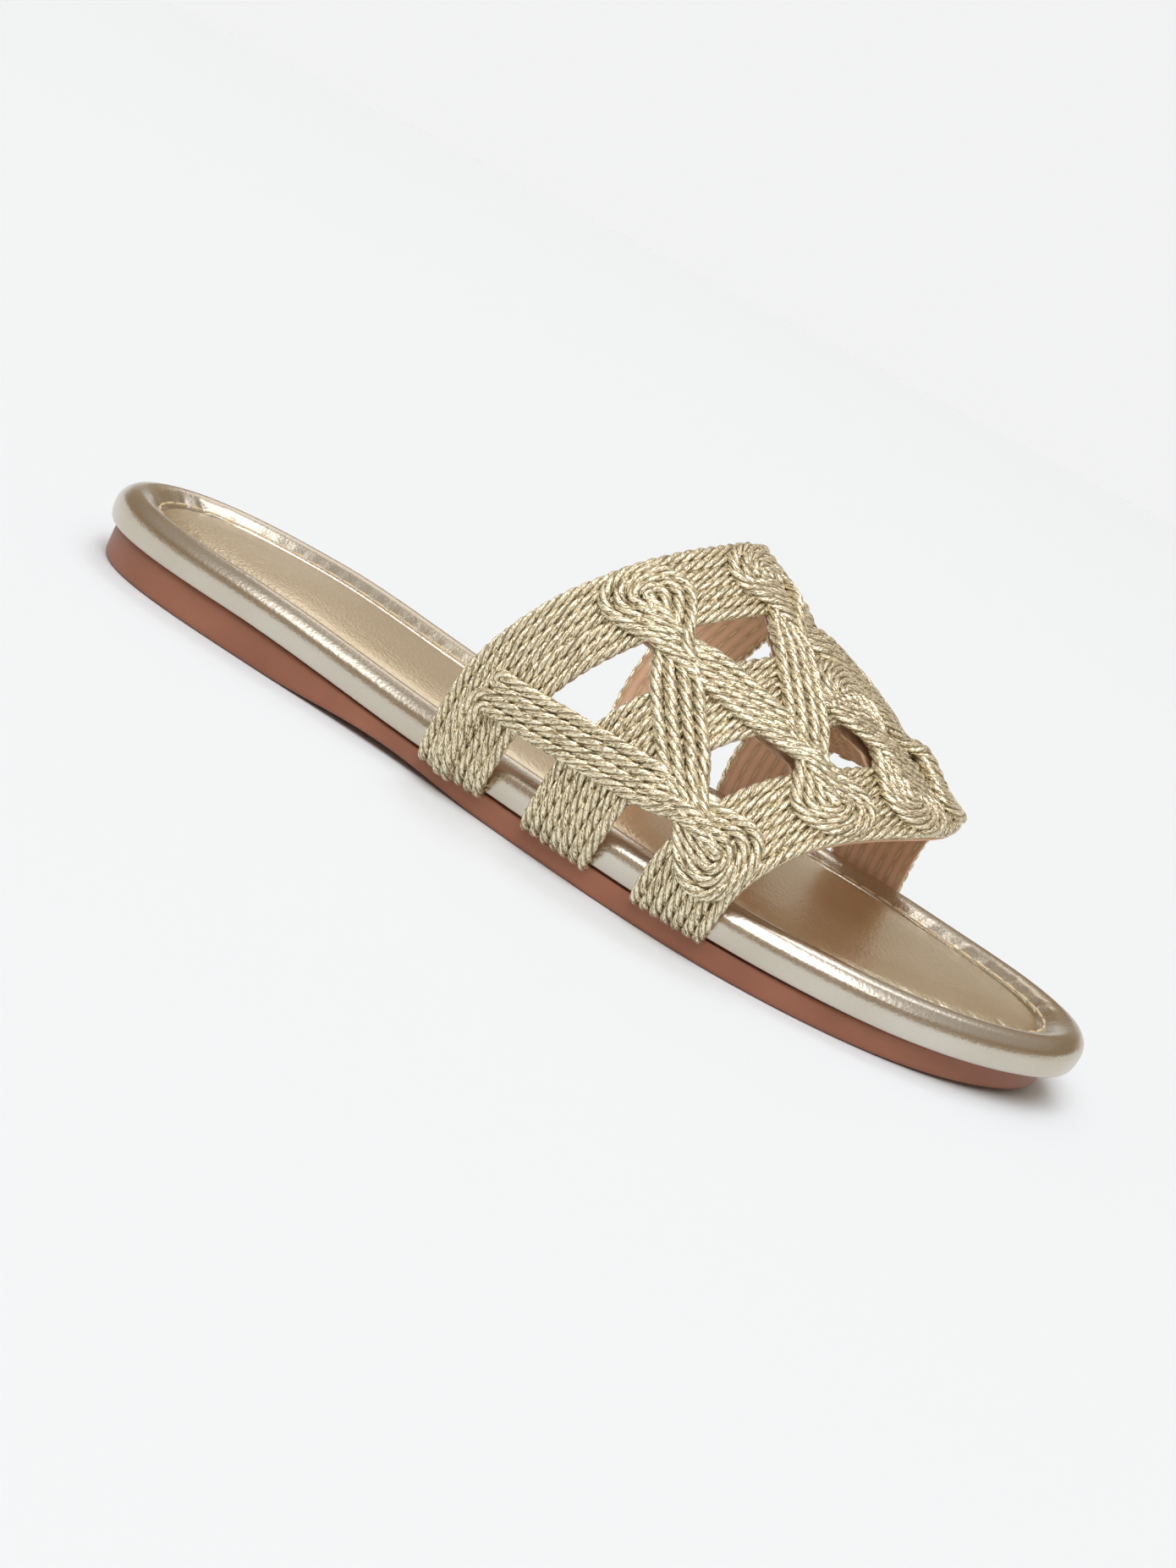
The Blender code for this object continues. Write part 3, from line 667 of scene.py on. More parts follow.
def zigzag_ropes():
    """Paths (across, along, height) of the zigzag's ropes."""
    runs, centres, radii = zigzag_runs()
    crossings = []
    for i in range(1, len(runs)):
        over = OVER_AT_FRONT if ZIGZAG[i].band == "front" else OVER_AT_BACK
        crossings.append(Crossing(runs[i - 1], runs[i], way_of(i), over))
    ropes = []
    for offset in strip_offsets():
        pieces = [end_turn(runs[0], offset, True)]
        for i, run in enumerate(runs):
            pieces.append(run_rope(run, offset, [c for c in crossings if run in c.strips]))
            if i + 1 < len(runs):
                way = way_of(i + 1)
                arc = turn_round(centres[i + 1], run, runs[i + 1], radii[i + 1] - way * offset, way)
                pieces.append(with_lie(arc, STRIP_ROPE_LIE))
        pieces.append(end_turn(runs[-1], offset, False))
        ropes.append(join_places([piece for piece in pieces if piece is not None]))
    return ropes


def figure_eight_ropes():
    """Closed paths of the ornament's ropes round its two coils."""
    first, second = (coil_centre(row) for row in FIGURE_EIGHT)
    radius = FIGURE_EIGHT[0].radius - STRIP_WIDTH / 2.0
    down = Run(first, second, radius, radius)
    up = Run(second, first, -radius, -radius)
    crossing = Crossing(down, up, 1.0, STRIP_ROPES)
    ropes = []
    for offset in strip_offsets():
        ropes.append(join_places([
            run_rope(down, offset, [crossing]),
            with_lie(turn_round(second, down, up, radius + offset, -1.0), STRIP_ROPE_LIE),
            run_rope(up, offset, [crossing]),
            with_lie(turn_round(first, up, down, radius - offset, 1.0), STRIP_ROPE_LIE),
        ]))
    return ropes


def band_ropes(band):
    """Paths of a band's ropes from base to base."""
    ropes = []
    for k in range(BAND_ROPES):
        along = band.start + BAND_PITCH * (k + 0.5)
        reach = float(LAST.girth(along)) + ROPE_TUCK
        path = line_places(np.array([-reach, along]), np.array([reach, along]))
        ropes.append(with_lie(path, BAND_ROPE_LIE))
    return ropes


# Nodes and materials


MATH = "ShaderNodeMath"
NOISE = "ShaderNodeTexNoise"
RANGE = "ShaderNodeMapRange"


def add_node(tree, kind, inputs=None, out=0, **settings):
    """Add a node with its settings; an input takes a value or a socket. Returns one of its outputs."""
    node = tree.nodes.new(kind)
    for name, value in settings.items():
        setattr(node, name, value)
    for key, value in (inputs or {}).items():
        if isinstance(value, bpy.types.NodeSocket):
            tree.links.new(value, node.inputs[key])
        else:
            node.inputs[key].default_value = value
    return node.outputs[out] if node.outputs else None


def new_material(name):
    """Empty material, the call that adds a node to it, and the mule's colours."""
    material = bpy.data.materials.new(name)
    material.use_nodes = True
    material.node_tree.nodes.clear()
    return material, partial(add_node, material.node_tree), bpy.context.scene.mule_colours


def close_material(add, inputs):
    """Principled surface and output of a material."""
    shader = add("ShaderNodeBsdfPrincipled", inputs)
    add("ShaderNodeOutputMaterial", {"Surface": shader})


def metallic_cord():
    """Twisted cord of metallised viscose: silky filaments along the plies, some glinting, some dull."""
    material, add, colours = new_material("metallic_viscose_cord_twisted")
    run, spin, strand, ply = (
        add("ShaderNodeAttribute", out="Fac", attribute_name=name)
        for name in ("run", "round", "strand", "ply")
    )
    # Filaments about 1.5 mm long and 0.2 mm wide, then flecks of foil about 0.6 by 0.3 mm
    streaks = []
    for row in (FILAMENT, FLECK):
        along = add(MATH, {0: run, 1: row.along}, operation="MULTIPLY")
        across = add(MATH, {0: spin, 1: row.around}, operation="MULTIPLY")
        place = add("ShaderNodeCombineXYZ", {0: along, 1: across, 2: strand})
        streaks.append(add(NOISE, {"Vector": place, "Scale": 1.0, "Detail": row.detail}))
    blend = add(MATH, {0: streaks[1], 1: 1.1, 2: streaks[0]}, operation="MULTIPLY_ADD")
    share = add(RANGE, {"Value": blend, "From Min": 0.83, "From Max": 1.04})
    # Painted shade in the grooves between the plies: the colour goes towards the dark cord colour there, and
    # the roughness goes up
    groove_shade = add(RANGE, {"Value": ply, "From Max": 0.55, "To Min": 0.14})
    share = add(MATH, {0: share, 1: groove_shade}, operation="MULTIPLY")
    inputs = {0: share, 6: colours.cord_dark, 7: colours.cord_light}
    colour = add("ShaderNodeMix", inputs, 2, data_type="RGBA")
    rough = add(RANGE, {"Value": share, "To Min": 0.5, "To Max": 0.16})
    bump = add("ShaderNodeBump", {"Height": blend, "Strength": 0.9, "Distance": 0.0002})
    close_material(add, {"Base Color": colour, "Metallic": 0.75, "Roughness": rough, "Normal": bump})
    return material


def foil_leather(name, light, dark, grain, gloss):
    """Goat leather with a champagne foil, rolled: fine pebble grain that glitters, soft broad reflections."""
    material, add, _ = new_material(name)
    place = add("ShaderNodeTexCoord", out="Object")
    # Pebbles about 0.75 mm across
    pebble = add("ShaderNodeTexVoronoi", {"Vector": place, "Scale": 1350.0}, feature="SMOOTH_F1")
    fine = add(NOISE, {"Vector": place, "Scale": 2600.0, "Detail": 2.0})
    height = add(MATH, {0: fine, 1: 0.5, 2: pebble}, operation="MULTIPLY_ADD")
    # Slow clouds, about 40 mm, where the foil is stretched
    cloud = add(NOISE, {"Vector": place, "Scale": 25.0, "Detail": 2.0})
    share = add(RANGE, {"Value": cloud, "From Min": 0.35, "From Max": 0.7})
    colour = add("ShaderNodeMix", {0: share, 6: light, 7: dark}, 2, data_type="RGBA")
    rough = add(RANGE, {"Value": fine, "To Min": gloss, "To Max": gloss + 0.14})
    soft = add("ShaderNodeBump", {"Height": cloud, "Strength": 0.12, "Distance": 0.0012})
    bump = add("ShaderNodeBump", {"Height": height, "Strength": grain, "Distance": 0.00016, "Normal": soft})
    close_material(add, {"Base Color": colour, "Metallic": 1.0, "Roughness": rough, "Normal": bump})
    return material


def lining_leather():
    """Pigmented sheep lining, pressed: even tan, fine pores, and painted shade in the dips along its rows of
    stitches.
    """
    material, add, colours = new_material("tan_lining_leather_pressed")
    place = add("ShaderNodeTexCoord", out="Object")
    pore = add("ShaderNodeTexVoronoi", {"Vector": place, "Scale": 1500.0})
    cloud = add(NOISE, {"Vector": place, "Scale": 160.0, "Detail": 4.0})
    # Painted shade along the rows of sewing, where the sheet dips
    stitch_dip_shade = add("ShaderNodeAttribute", out="Fac", attribute_name="stitch_dip_shade")
    share = add(MATH, {0: cloud, 1: 0.5, 2: stitch_dip_shade}, operation="MULTIPLY_ADD")
    share = add(RANGE, {"Value": share, "From Min": 0.15, "From Max": 1.1})
    colour = add("ShaderNodeMix", {0: share, 6: colours.lining, 7: colours.lining_dark}, 2, data_type="RGBA")
    bump = add("ShaderNodeBump", {"Height": pore, "Strength": 0.3, "Distance": 0.00012})
    close_material(add, {"Base Color": colour, "Roughness": 0.52, "Normal": bump})
    return material


def sole_rubber():
    """Moulded rubber, brown: smooth satin skin with faint clouds and fine mould texture."""
    material, add, colours = new_material("brown_rubber_moulded")
    place = add("ShaderNodeTexCoord", out="Object")
    cloud = add(NOISE, {"Vector": place, "Scale": 55.0, "Detail": 4.0})
    grit = add(NOISE, {"Vector": place, "Scale": 3200.0, "Detail": 2.0})
    share = add(RANGE, {"Value": cloud, "From Min": 0.3, "From Max": 0.75})
    colour = add("ShaderNodeMix", {0: share, 6: colours.rubber, 7: colours.rubber_dark}, 2, data_type="RGBA")
    rough = add(RANGE, {"Value": grit, "To Min": 0.38, "To Max": 0.52})
    bump = add("ShaderNodeBump", {"Height": grit, "Strength": 0.12, "Distance": 0.0001})
    close_material(add, {"Base Color": colour, "Roughness": rough, "Normal": bump})
    return material


def sewing_thread():
    """Bonded polyester thread: pale, faintly shiny, with the twist of its plies."""
    material, add, colours = new_material("polyester_thread_bonded")
    place = add("ShaderNodeTexCoord", out="Object")
    inputs = {"Vector": place, "Scale": 900.0, "Distortion": 1.0}
    twist = add("ShaderNodeTexWave", inputs, "Fac", bands_direction="DIAGONAL")
    bump = add("ShaderNodeBump", {"Height": twist, "Strength": 0.3, "Distance": 0.0001})
    close_material(add, {"Base Color": colours.thread, "Roughness": 0.5, "Normal": bump})
    return material


def floor_paint():
    """Matt white paint, rolled: no sheen, a trace of texture."""
    material, add, colours = new_material("white_paint_matt")
    place = add("ShaderNodeTexCoord", out="Object")
    roll = add(NOISE, {"Vector": place, "Scale": 400.0})
    bump = add("ShaderNodeBump", {"Height": roll, "Strength": 0.02, "Distance": 0.0002})
    close_material(add, {"Base Color": colours.floor, "Roughness": 0.85, "Normal": bump})
    return material


# Geometry trees


def new_tree(name, sockets):
    """Geometry tree with inputs named under their kind, the call that adds a node, and the given sockets."""
    tree = bpy.data.node_groups.new(name, "GeometryNodeTree")
    tree.interface.new_socket("Geometry", in_out="INPUT", socket_type="NodeSocketGeometry")
    for kind, titles in sockets.items():
        for title in titles:
            tree.interface.new_socket(title, in_out="INPUT", socket_type=f"NodeSocket{kind}")
    tree.interface.new_socket("Geometry", in_out="OUTPUT", socket_type="NodeSocketGeometry")
    add = partial(add_node, tree)
    return tree, add, add("NodeGroupInput").node.outputs


def close_tree(add, geometry, material):
    """Plain mesh with its material as a tree's result."""
    mesh = add("GeometryNodeRealizeInstances", {"Geometry": geometry})
    mesh = add("GeometryNodeSetMaterial", {"Geometry": mesh, "Material": material})
    add("NodeGroupOutput", {"Geometry": mesh})


def rope_tree():
    """Twisted cord along every path: lobed profile swept with a tilt that grows with the length."""
    tree, add, given = new_tree("twisted_cord", {
        "Float": ("Crown", "Groove", "Lay", "Plies"), "Int": ("Sides", "Seed"), "Material": ("Material",),
    })
    inputs = {"Resolution": given["Sides"], "Radius": 1.0}
    profile = add("GeometryNodeCurvePrimitiveCircle", inputs, mode="RADIUS")
    index = add("GeometryNodeInputIndex")
    share = add(MATH, {0: index, 1: given["Sides"]}, operation="DIVIDE")
    turn = add(MATH, {0: share, 1: math.pi}, operation="MULTIPLY")
    turn = add(MATH, {0: turn, 1: given["Plies"]}, operation="MULTIPLY")
    wave = add(MATH, {0: turn}, operation="SINE")
    lobe = add(MATH, {0: wave}, operation="ABSOLUTE")
    depth = add(MATH, {0: given["Crown"], 1: given["Groove"]}, operation="SUBTRACT")
    radius = add(MATH, {0: lobe, 1: depth, 2: given["Groove"]}, operation="MULTIPLY_ADD")
    place = add("GeometryNodeInputPosition")
    place = add("ShaderNodeVectorMath", {0: place, "Scale": radius}, operation="SCALE")
    profile = add("GeometryNodeSetPosition", {"Geometry": profile, "Position": place})

    curve = add("GeometryNodeMeshToCurve", {"Mesh": given["Geometry"]})
    run = add("GeometryNodeSplineParameter", out="Length")
    number = add("GeometryNodeCurveOfPoint", out="Curve Index")
    inputs = {"ID": number, "Seed": given["Seed"], "Min": 0.0, "Max": STRAND_SPREAD}
    chance = add("FunctionNodeRandomValue", inputs, "Value", data_type="FLOAT")
    turns = add(MATH, {0: run, 1: given["Lay"]}, operation="DIVIDE")
    turns = add(MATH, {0: turns, 1: -2.0 * math.pi}, operation="MULTIPLY")
    tilt = add(MATH, {0: turns, 1: chance}, operation="ADD")
    curve = add("GeometryNodeSetCurveTilt", {"Curve": curve, "Tilt": tilt})
    store = "GeometryNodeStoreNamedAttribute"
    for title, value in (("round", share), ("ply", lobe)):
        profile = add(store, {"Geometry": profile, "Name": title, "Value": value})
    for title, value in (("run", run), ("strand", chance)):
        curve = add(store, {"Geometry": curve, "Name": title, "Value": value})
    mesh = add("GeometryNodeCurveToMesh", {"Curve": curve, "Profile Curve": profile, "Fill Caps": True})
    mesh = add("GeometryNodeSetShadeSmooth", {"Geometry": mesh})
    close_tree(add, mesh, given["Material"])
    return tree


def stitch_tree():
    """Row of stitches along every path: a slim rounded thread at even steps, turned along the path."""
    tree, add, given = new_tree("stitch_row", {
        "Float": ("Step", "Length", "Thread"), "Material": ("Material",),
    })
    curve = add("GeometryNodeMeshToCurve", {"Mesh": given["Geometry"]})
    inputs = {"Curve": curve, "Length": given["Step"]}
    points = add("GeometryNodeCurveToPoints", inputs, "Points", mode="LENGTH")
    half = add(MATH, {0: given["Length"], 1: 0.5}, operation="MULTIPLY")
    stitch = add("GeometryNodeMeshUVSphere", {"Segments": 6, "Rings": 6, "Radius": 1.0}, "Mesh")
    size = add("ShaderNodeCombineXYZ", {0: given["Thread"], 1: given["Thread"], 2: half})
    stitch = add("GeometryNodeTransform", {"Geometry": stitch, "Scale": size})
    stitch = add("GeometryNodeSetShadeSmooth", {"Geometry": stitch})
    inputs = {"Points": points, "Instance": stitch, "Rotation": points.node.outputs["Rotation"]}
    close_tree(add, add("GeometryNodeInstanceOnPoints", inputs), given["Material"])
    return tree


# Pieces


def add_object(name, data):
    """New object in the scene."""
    thing = bpy.data.objects.new(name, data)
    bpy.context.scene.collection.objects.link(thing)
    return thing


def path_object(name, paths, closed):
    """Object of plain edges along paths in metres."""
    points = []
    edges = []
    for path in paths:
        first = len(points)
        points.extend(tuple(p) for p in path)
        edges.extend((i, i + 1) for i in range(first, len(points) - 1))
        if closed:
            edges.append((len(points) - 1, first))
    mesh = bpy.data.meshes.new(name)
    mesh.from_pydata(points, edges, [])
    return add_object(name, mesh)


def grow(guide, tree, values):
    """Plain mesh piece that a geometry tree grows along a guide's paths."""
    modifier = guide.modifiers.new(tree.name, "NODES")
    modifier.node_group = tree
    for item in tree.interface.items_tree:
        if item.in_out == "INPUT" and item.name in values:
            modifier[item.identifier] = values[item.name]
    bpy.context.view_layer.update()
    graph = bpy.context.evaluated_depsgraph_get()
    grown = guide.evaluated_get(graph)
    mesh = bpy.data.meshes.new_from_object(grown, preserve_all_data_layers=True, depsgraph=graph)
    name = guide.name
    old = guide.data
    bpy.data.objects.remove(guide)
    bpy.data.meshes.remove(old)
    mesh.name = name
    if not mesh.polygons:
        raise RuntimeError(f"{name} has no faces")
    return add_object(name, mesh)


def hand_in(piece, node):
    """Attach a piece to the body it rides on, and hide the solid it stands for."""
    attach(piece, BODY)
    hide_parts(node)


def mesh_piece(name, points, faces, material):
    """Smooth-shaded piece from points in metres."""
    mesh = bpy.data.meshes.new(name)
    mesh.from_pydata([tuple(p) for p in points], [], faces)
    model = bmesh.new()
    model.from_mesh(mesh)
    bmesh.ops.recalc_face_normals(model, faces=model.faces[:])
    model.to_mesh(mesh)
    model.free()
    mesh.shade_smooth()
    mesh.materials.append(material)
    return add_object(name, mesh)


def loft_piece(name, rings, material):
    """Skin a stack of rings and close the first and the last from side to side."""
    count = len(rings[0])
    faces = []
    for low in range(0, (len(rings) - 1) * count, count):
        high = low + count
        for i in range(count):
            j = (i + 1) % count
            faces.append((low + i, low + j, high + j, high + i))
    for first in (0, (len(rings) - 1) * count):
        for i in range(count // 2):
            ring = (i, i + 1, (count - i - 1) % count, (count - i) % count)
            faces.append(tuple(dict.fromkeys(first + place for place in ring)))
    return mesh_piece(name, to_metres(np.vstack(rings)), faces, material)


def ring_length(ring):
    """Distance of each place of a closed ring from its first place, and the whole length."""
    run = run_length(np.vstack([ring, ring[:1]]))
    return run[:-1], run[-1]


def channel_ring():
    """Plan line of the stitches and their spacing, in whole stitches round the sole."""
    ring = sole_ring(CHANNEL_INSET, FINE_PER_SIDE)
    whole = ring_length(ring)[1]
    count = round(whole * MM / bpy.context.scene.mule_rope.channel_step)
    return ring, whole / count


def leather_relief(inset, reach, channel, step):
    """Depth of the puckers at the stitches and of the creases for one ring of the leather."""
    share = (inset - reach.outer) / (reach.middle - reach.outer)
    if inset >= reach.middle:
        share = (reach.inner - inset) / (reach.inner - reach.middle)
    window = float(smooth_step(share))
    if window <= 0.0:
        return 0.0
    run, whole = ring_length(channel)
    depth = PUCKER_DEPTH * (0.5 + 0.5 * np.cos(2.0 * math.pi * (run / step - 0.5)))
    half = len(channel) // 2
    stations = sole_ring(0.0, half)[:, 1]
    for row in CREASES:
        side = stations[:half + 1] if row.side > 0 else stations[half:]
        place = int(np.argmin(np.abs(side - row.station))) + (0 if row.side > 0 else half)
        away = run - run[place] + row.lean * (inset - reach.middle)
        away = (away + whole / 2.0) % whole - whole / 2.0
        depth = depth + row.depth * np.exp(-(away / row.width) ** 2)
    return depth * window * reach.share


def leather_layer(name, rows, face_start, reach, leather, node):
    """Padded leather layer, puckered and creased from one row of its section onwards."""
    channel, step = channel_ring()
    rings = []
    for number, (inset, height) in enumerate(rows):
        plan = sole_ring(inset, FINE_PER_SIDE)
        relief = leather_relief(inset, reach, channel, step) if number >= face_start else 0.0
        rings.append(np.column_stack([plan, seat_height(plan[:, 1]) + GAP + height - relief]))
    piece = loft_piece(name, rings, leather)
    hand_in(piece, node)


def lay_rope(path, chance, closed):
    """Points of one cord, laid by hand: a little uneven sideways and in height."""
    run = run_length(path[:, :2])
    knots = np.arange(0.0, run[-1] + 2.0 * WOBBLE_LENGTH, WOBBLE_LENGTH)
    uneven = chance.uniform(-1.0, 1.0, (3, len(knots)))
    if closed:
        uneven[:, -3:] = uneven[:, :1]
    across, along, lie = (natural_spline(knots, row)(run) for row in uneven)
    across = path[:, 0] + across * WOBBLE_SIDE
    along = path[:, 1] + along * WOBBLE_SIDE
    return LAST.place(across, along, path[:, 2] + lie * WOBBLE_LIE)


def rope_piece(name, ropes, seed, closed=False):
    """Twisted cords along paths of the flat pattern."""
    sizes = bpy.context.scene.mule_rope
    chance = np.random.RandomState(seed)
    guide = path_object(name, [lay_rope(path, chance, closed) for path in ropes], closed)
    piece = grow(guide, bpy.data.node_groups.get("twisted_cord") or rope_tree(), {
        "Crown": sizes.crown, "Groove": sizes.groove, "Lay": sizes.lay, "Plies": float(sizes.plies),
        "Sides": sizes.sides, "Seed": seed,
        "Material": bpy.data.materials.get("metallic_viscose_cord_twisted") or metallic_cord(),
    })
    hand_in(piece, "upper")


def stitch_piece(name, paths, step, stitch, thread, closed=False):
    """Rows of stitches along paths in metres."""
    guide = path_object(name, paths, closed)
    return grow(guide, bpy.data.node_groups.get("stitch_row") or stitch_tree(), {
        "Step": step, "Length": stitch, "Thread": thread,
        "Material": bpy.data.materials.get("polyester_thread_bonded") or sewing_thread(),
    })


def strip_outline(run):
    """Outline of a strip's lining."""
    half = run.left * (STRIP_WIDTH / 2.0 - STRIP_LINING_INSET)
    sides = (line_places(run.start - half, run.end - half), line_places(run.end + half, run.start + half))
    return np.vstack(sides)[::OUTLINE_STRIDE]


def lining_outlines():
    """Closed outlines of the lining under bands, strips and coils."""
    outlines = []
    turns = np.linspace(-1.0, 1.0, BAND_EDGE_POINTS)
    for band in BANDS:
        front = band.start + (FRONT_LINING_INSET if band is BANDS[0] else BAND_LINING_INSET)
        back = band.start + BAND_WIDTH - BAND_LINING_INSET
        low, high = (
            np.column_stack([turns * float(LAST.girth(along)), np.full(len(turns), along)])
            for along in (front, back)
        )
        outlines.append(np.vstack([low, high[::-1]]))
    runs, centres, _ = zigzag_runs()
    first, second = (coil_centre(row) for row in FIGURE_EIGHT)
    radius = FIGURE_EIGHT[0].radius - STRIP_WIDTH / 2.0
    runs.extend(Run(first, second, way * radius, way * radius) for way in (1.0, -1.0))
    outlines.extend(strip_outline(run) for run in runs)
    for row, centre in zip(ZIGZAG + FIGURE_EIGHT, centres + [first, second]):
        circle = arc_places(centre, row.radius - STRIP_LINING_INSET, 0.0, 2.0 * math.pi)
        outlines.append(circle[:-1:OUTLINE_STRIDE])
    return outlines


def inside_any(outlines, places):
    """Whether each place lies inside any of the closed outlines."""
    hit = np.zeros(len(places), bool)
    for outline in outlines:
        inside = np.zeros(len(places), bool)
        for a, b in zip(outline, np.roll(outline, -1, axis=0)):
            spans = (a[1] > places[:, 1]) != (b[1] > places[:, 1])
            rise = b[1] - a[1] if b[1] != a[1] else 1.0
            inside ^= spans & (places[:, 0] < a[0] + (places[:, 1] - a[1]) * (b[0] - a[0]) / rise)
        hit |= inside
    return hit


def lining_pattern():
    """Flat lining: places (across, along) and triangles."""
    outlines = lining_outlines()
    points = []
    lines = []
    for outline in outlines:
        first = len(points)
        points.extend(outline)
        lines.extend((first + i, first + (i + 1) % len(outline)) for i in range(len(outline)))
    along = np.arange(BAND_PITCH / 8.0, WALL_LENGTH, BAND_PITCH / 4.0)
    across = np.arange(-LINING_REACH, LINING_REACH, LINING_STEP)
    grid = np.stack(np.meshgrid(across, along), axis=-1).reshape(-1, 2)
    grid = grid[np.abs(grid[:, 0]) < LAST.girth(grid[:, 1]) - LINING_STEP / 2.0]
    points.extend(grid[inside_any(outlines, grid)])
    flat = delaunay_2d_cdt([Vector(p) for p in points], lines, [], 0, SAME_PLACE)
    places = np.array([tuple(p) for p in flat[0]])
    faces = np.array([tuple(f) for f in flat[2]])
    faces = faces[inside_any(outlines, places[faces].mean(axis=1))]
    used = np.unique(faces)
    rank = np.full(len(places), -1)
    rank[used] = np.arange(len(used))
    return places[used], rank[faces]


def close_sheet(faces, count):
    """Faces of a closed sheet: the inner side, the outer side and the edge between them."""
    solid = [tuple(f) for f in faces] + [tuple(count + i for i in f[::-1]) for f in faces]
    sides = {}
    for f in faces:
        for i in range(3):
            edge = (f[i], f[(i + 1) % 3])
            key = (min(edge), max(edge))
            sides[key] = None if key in sides else edge
    return solid + [(b, a, count + a, count + b) for a, b in filter(None, sides.values())]


def stitch_paths():
    """Lines of sewing on the lining, one behind each rope: places (across, along)."""
    paths = []
    ropes = [rope for band in BANDS for rope in band_ropes(band)]
    for number, rope in enumerate(ropes + zigzag_ropes() + figure_eight_ropes()):
        inside = np.abs(rope[:, 0]) < LAST.girth(rope[:, 1]) - END_TAPER_LENGTH
        paths.append(rope[inside, :2][number % 2 * STAGGER:])
    return paths


def nearest_distance(places, paths):
    """Distance of each place from the nearest line of sewing."""
    marks = np.vstack(paths)
    tree = KDTree(len(marks))
    for i, mark in enumerate(marks):
        tree.insert((mark[0], mark[1], 0.0), i)
    tree.balance()
    return np.array([tree.find((place[0], place[1], 0.0))[2] for place in places])


# Operators of the pieces


class MULE_OT_outsole(bpy.types.Operator):
    """Slim rubber outsole with a rounded walking edge"""

    bl_idname = "mule.outsole"
    bl_label = "Outsole"

    def execute(self, context):
        inset = outsole_inset(PER_SIDE)
        rings = []
        for edge, height in smooth_rows(OUTSOLE_EDGE, OUTSOLE_ROWS):
            plan = sole_ring(np.minimum(inset + edge, DEEPEST_INSET), PER_SIDE)
            low = ground_height(plan[:, 1])
            high = seat_height(plan[:, 1])
            rings.append(np.column_stack([plan, low + (high - low) * height / OUTSOLE_THICK]))
        hand_in(loft_piece("outsole_rubber", rings, sole_rubber()), "outsole")
        return {"FINISHED"}


class MULE_OT_footbed(bpy.types.Operator):
    """Wrapped footbed with a padded rim"""

    bl_idname = "mule.footbed"
    bl_label = "Footbed"

    def execute(self, context):
        colours = context.scene.mule_colours
        rows = smooth_rows(FOOTBED_RIM, FOOTBED_ROWS)
        highest = int(np.argmax([height for _, height in rows]))
        leather = foil_leather(
            "champagne_foil_leather_wrapped", colours.foil, colours.foil_worn, grain=0.2, gloss=0.18,
        )
        leather_layer("footbed_wrap", rows, highest, RIM_PUCKER, leather, "footbed")
        return {"FINISHED"}


class MULE_OT_insole(bpy.types.Operator):
    """Padded sock inside the channel"""

    bl_idname = "mule.insole"
    bl_label = "Insole"

    def execute(self, context):
        colours = context.scene.mule_colours
        rows = smooth_rows(INSOLE_EDGE, INSOLE_ROWS)
        middle = (rows[0][1] + rows[-1][1]) / 2.0
        upper_half = next(number for number, row in enumerate(rows) if row[1] > middle)
        leather = foil_leather(
            "champagne_foil_leather_padded", colours.sock, colours.sock_worn, grain=0.55, gloss=0.24,
        )
        leather_layer("insole_sock", rows, upper_half, SOCK_PUCKER, leather, "insole")
        return {"FINISHED"}


class MULE_OT_channel(bpy.types.Operator):
    """Row of stitches in the footbed's channel"""

    bl_idname = "mule.channel"
    bl_label = "Channel stitching"

    def execute(self, context):
        sizes = context.scene.mule_rope
        plan, step = channel_ring()
        path = to_metres(np.column_stack([plan, seat_height(plan[:, 1]) + GAP + CHANNEL_HEIGHT]))
        stitch, thread = sizes.channel_stitch, sizes.channel_thread
        hand_in(stitch_piece("channel_stitching", [path], step * MM, stitch, thread, closed=True), "footbed")
        return {"FINISHED"}


class MULE_OT_lining(bpy.types.Operator):
    """Tan lining behind the ropes, puffed between its rows of sewing"""

    bl_idname = "mule.lining"
    bl_label = "Lining"

    def execute(self, context):
        sizes = context.scene.mule_rope
        places, faces = lining_pattern()
        rows = stitch_paths()
        nearest = np.clip(nearest_distance(places, rows) / STITCH_REACH, 0.0, 1.0)
        puff = PUFF * np.sin(nearest * math.pi / 2.0)
        # Painted shade: the lining's colour darkens towards each row of sewing, where the sheet dips
        stitch_dip_shade = (1.0 - nearest) ** 2
        inner = LAST.place(places[:, 0], places[:, 1], PUFF - puff)
        outer = LAST.place(places[:, 0], places[:, 1], LINING_THICK)
        solid = close_sheet(faces, len(places))
        piece = mesh_piece("lining_leather", np.vstack([inner, outer]), solid, lining_leather())
        shade = piece.data.attributes.new("stitch_dip_shade", "FLOAT", "POINT")
        shade.data.foreach_set("value", np.concatenate([stitch_dip_shade, stitch_dip_shade]).astype(np.float32))
        hand_in(piece, "upper")
        paths = [LAST.place(row[:, 0], row[:, 1], PUFF - THREAD_SINK) for row in rows]
        piece = stitch_piece("lining_stitching", paths, sizes.stitch_step, sizes.stitch, sizes.thread)
        hand_in(piece, "upper")
        return {"FINISHED"}


class MULE_OT_bands(bpy.types.Operator):
    """Three bands of twisted cord"""

    bl_idname = "mule.bands"
    bl_label = "Rope bands"

    def execute(self, context):
        for seed, band in enumerate(BANDS, 1):
            rope_piece(f"rope_band_{band.name}", band_ropes(band), seed)
        return {"FINISHED"}


class MULE_OT_zigzag(bpy.types.Operator):
    """Zigzag of four cords laid over the bands, coiled at every turn"""

    bl_idname = "mule.zigzag"
    bl_label = "Rope zigzag"

    def execute(self, context):
        rope_piece("rope_zigzag", zigzag_ropes(), ZIGZAG_SEED)
        return {"FINISHED"}


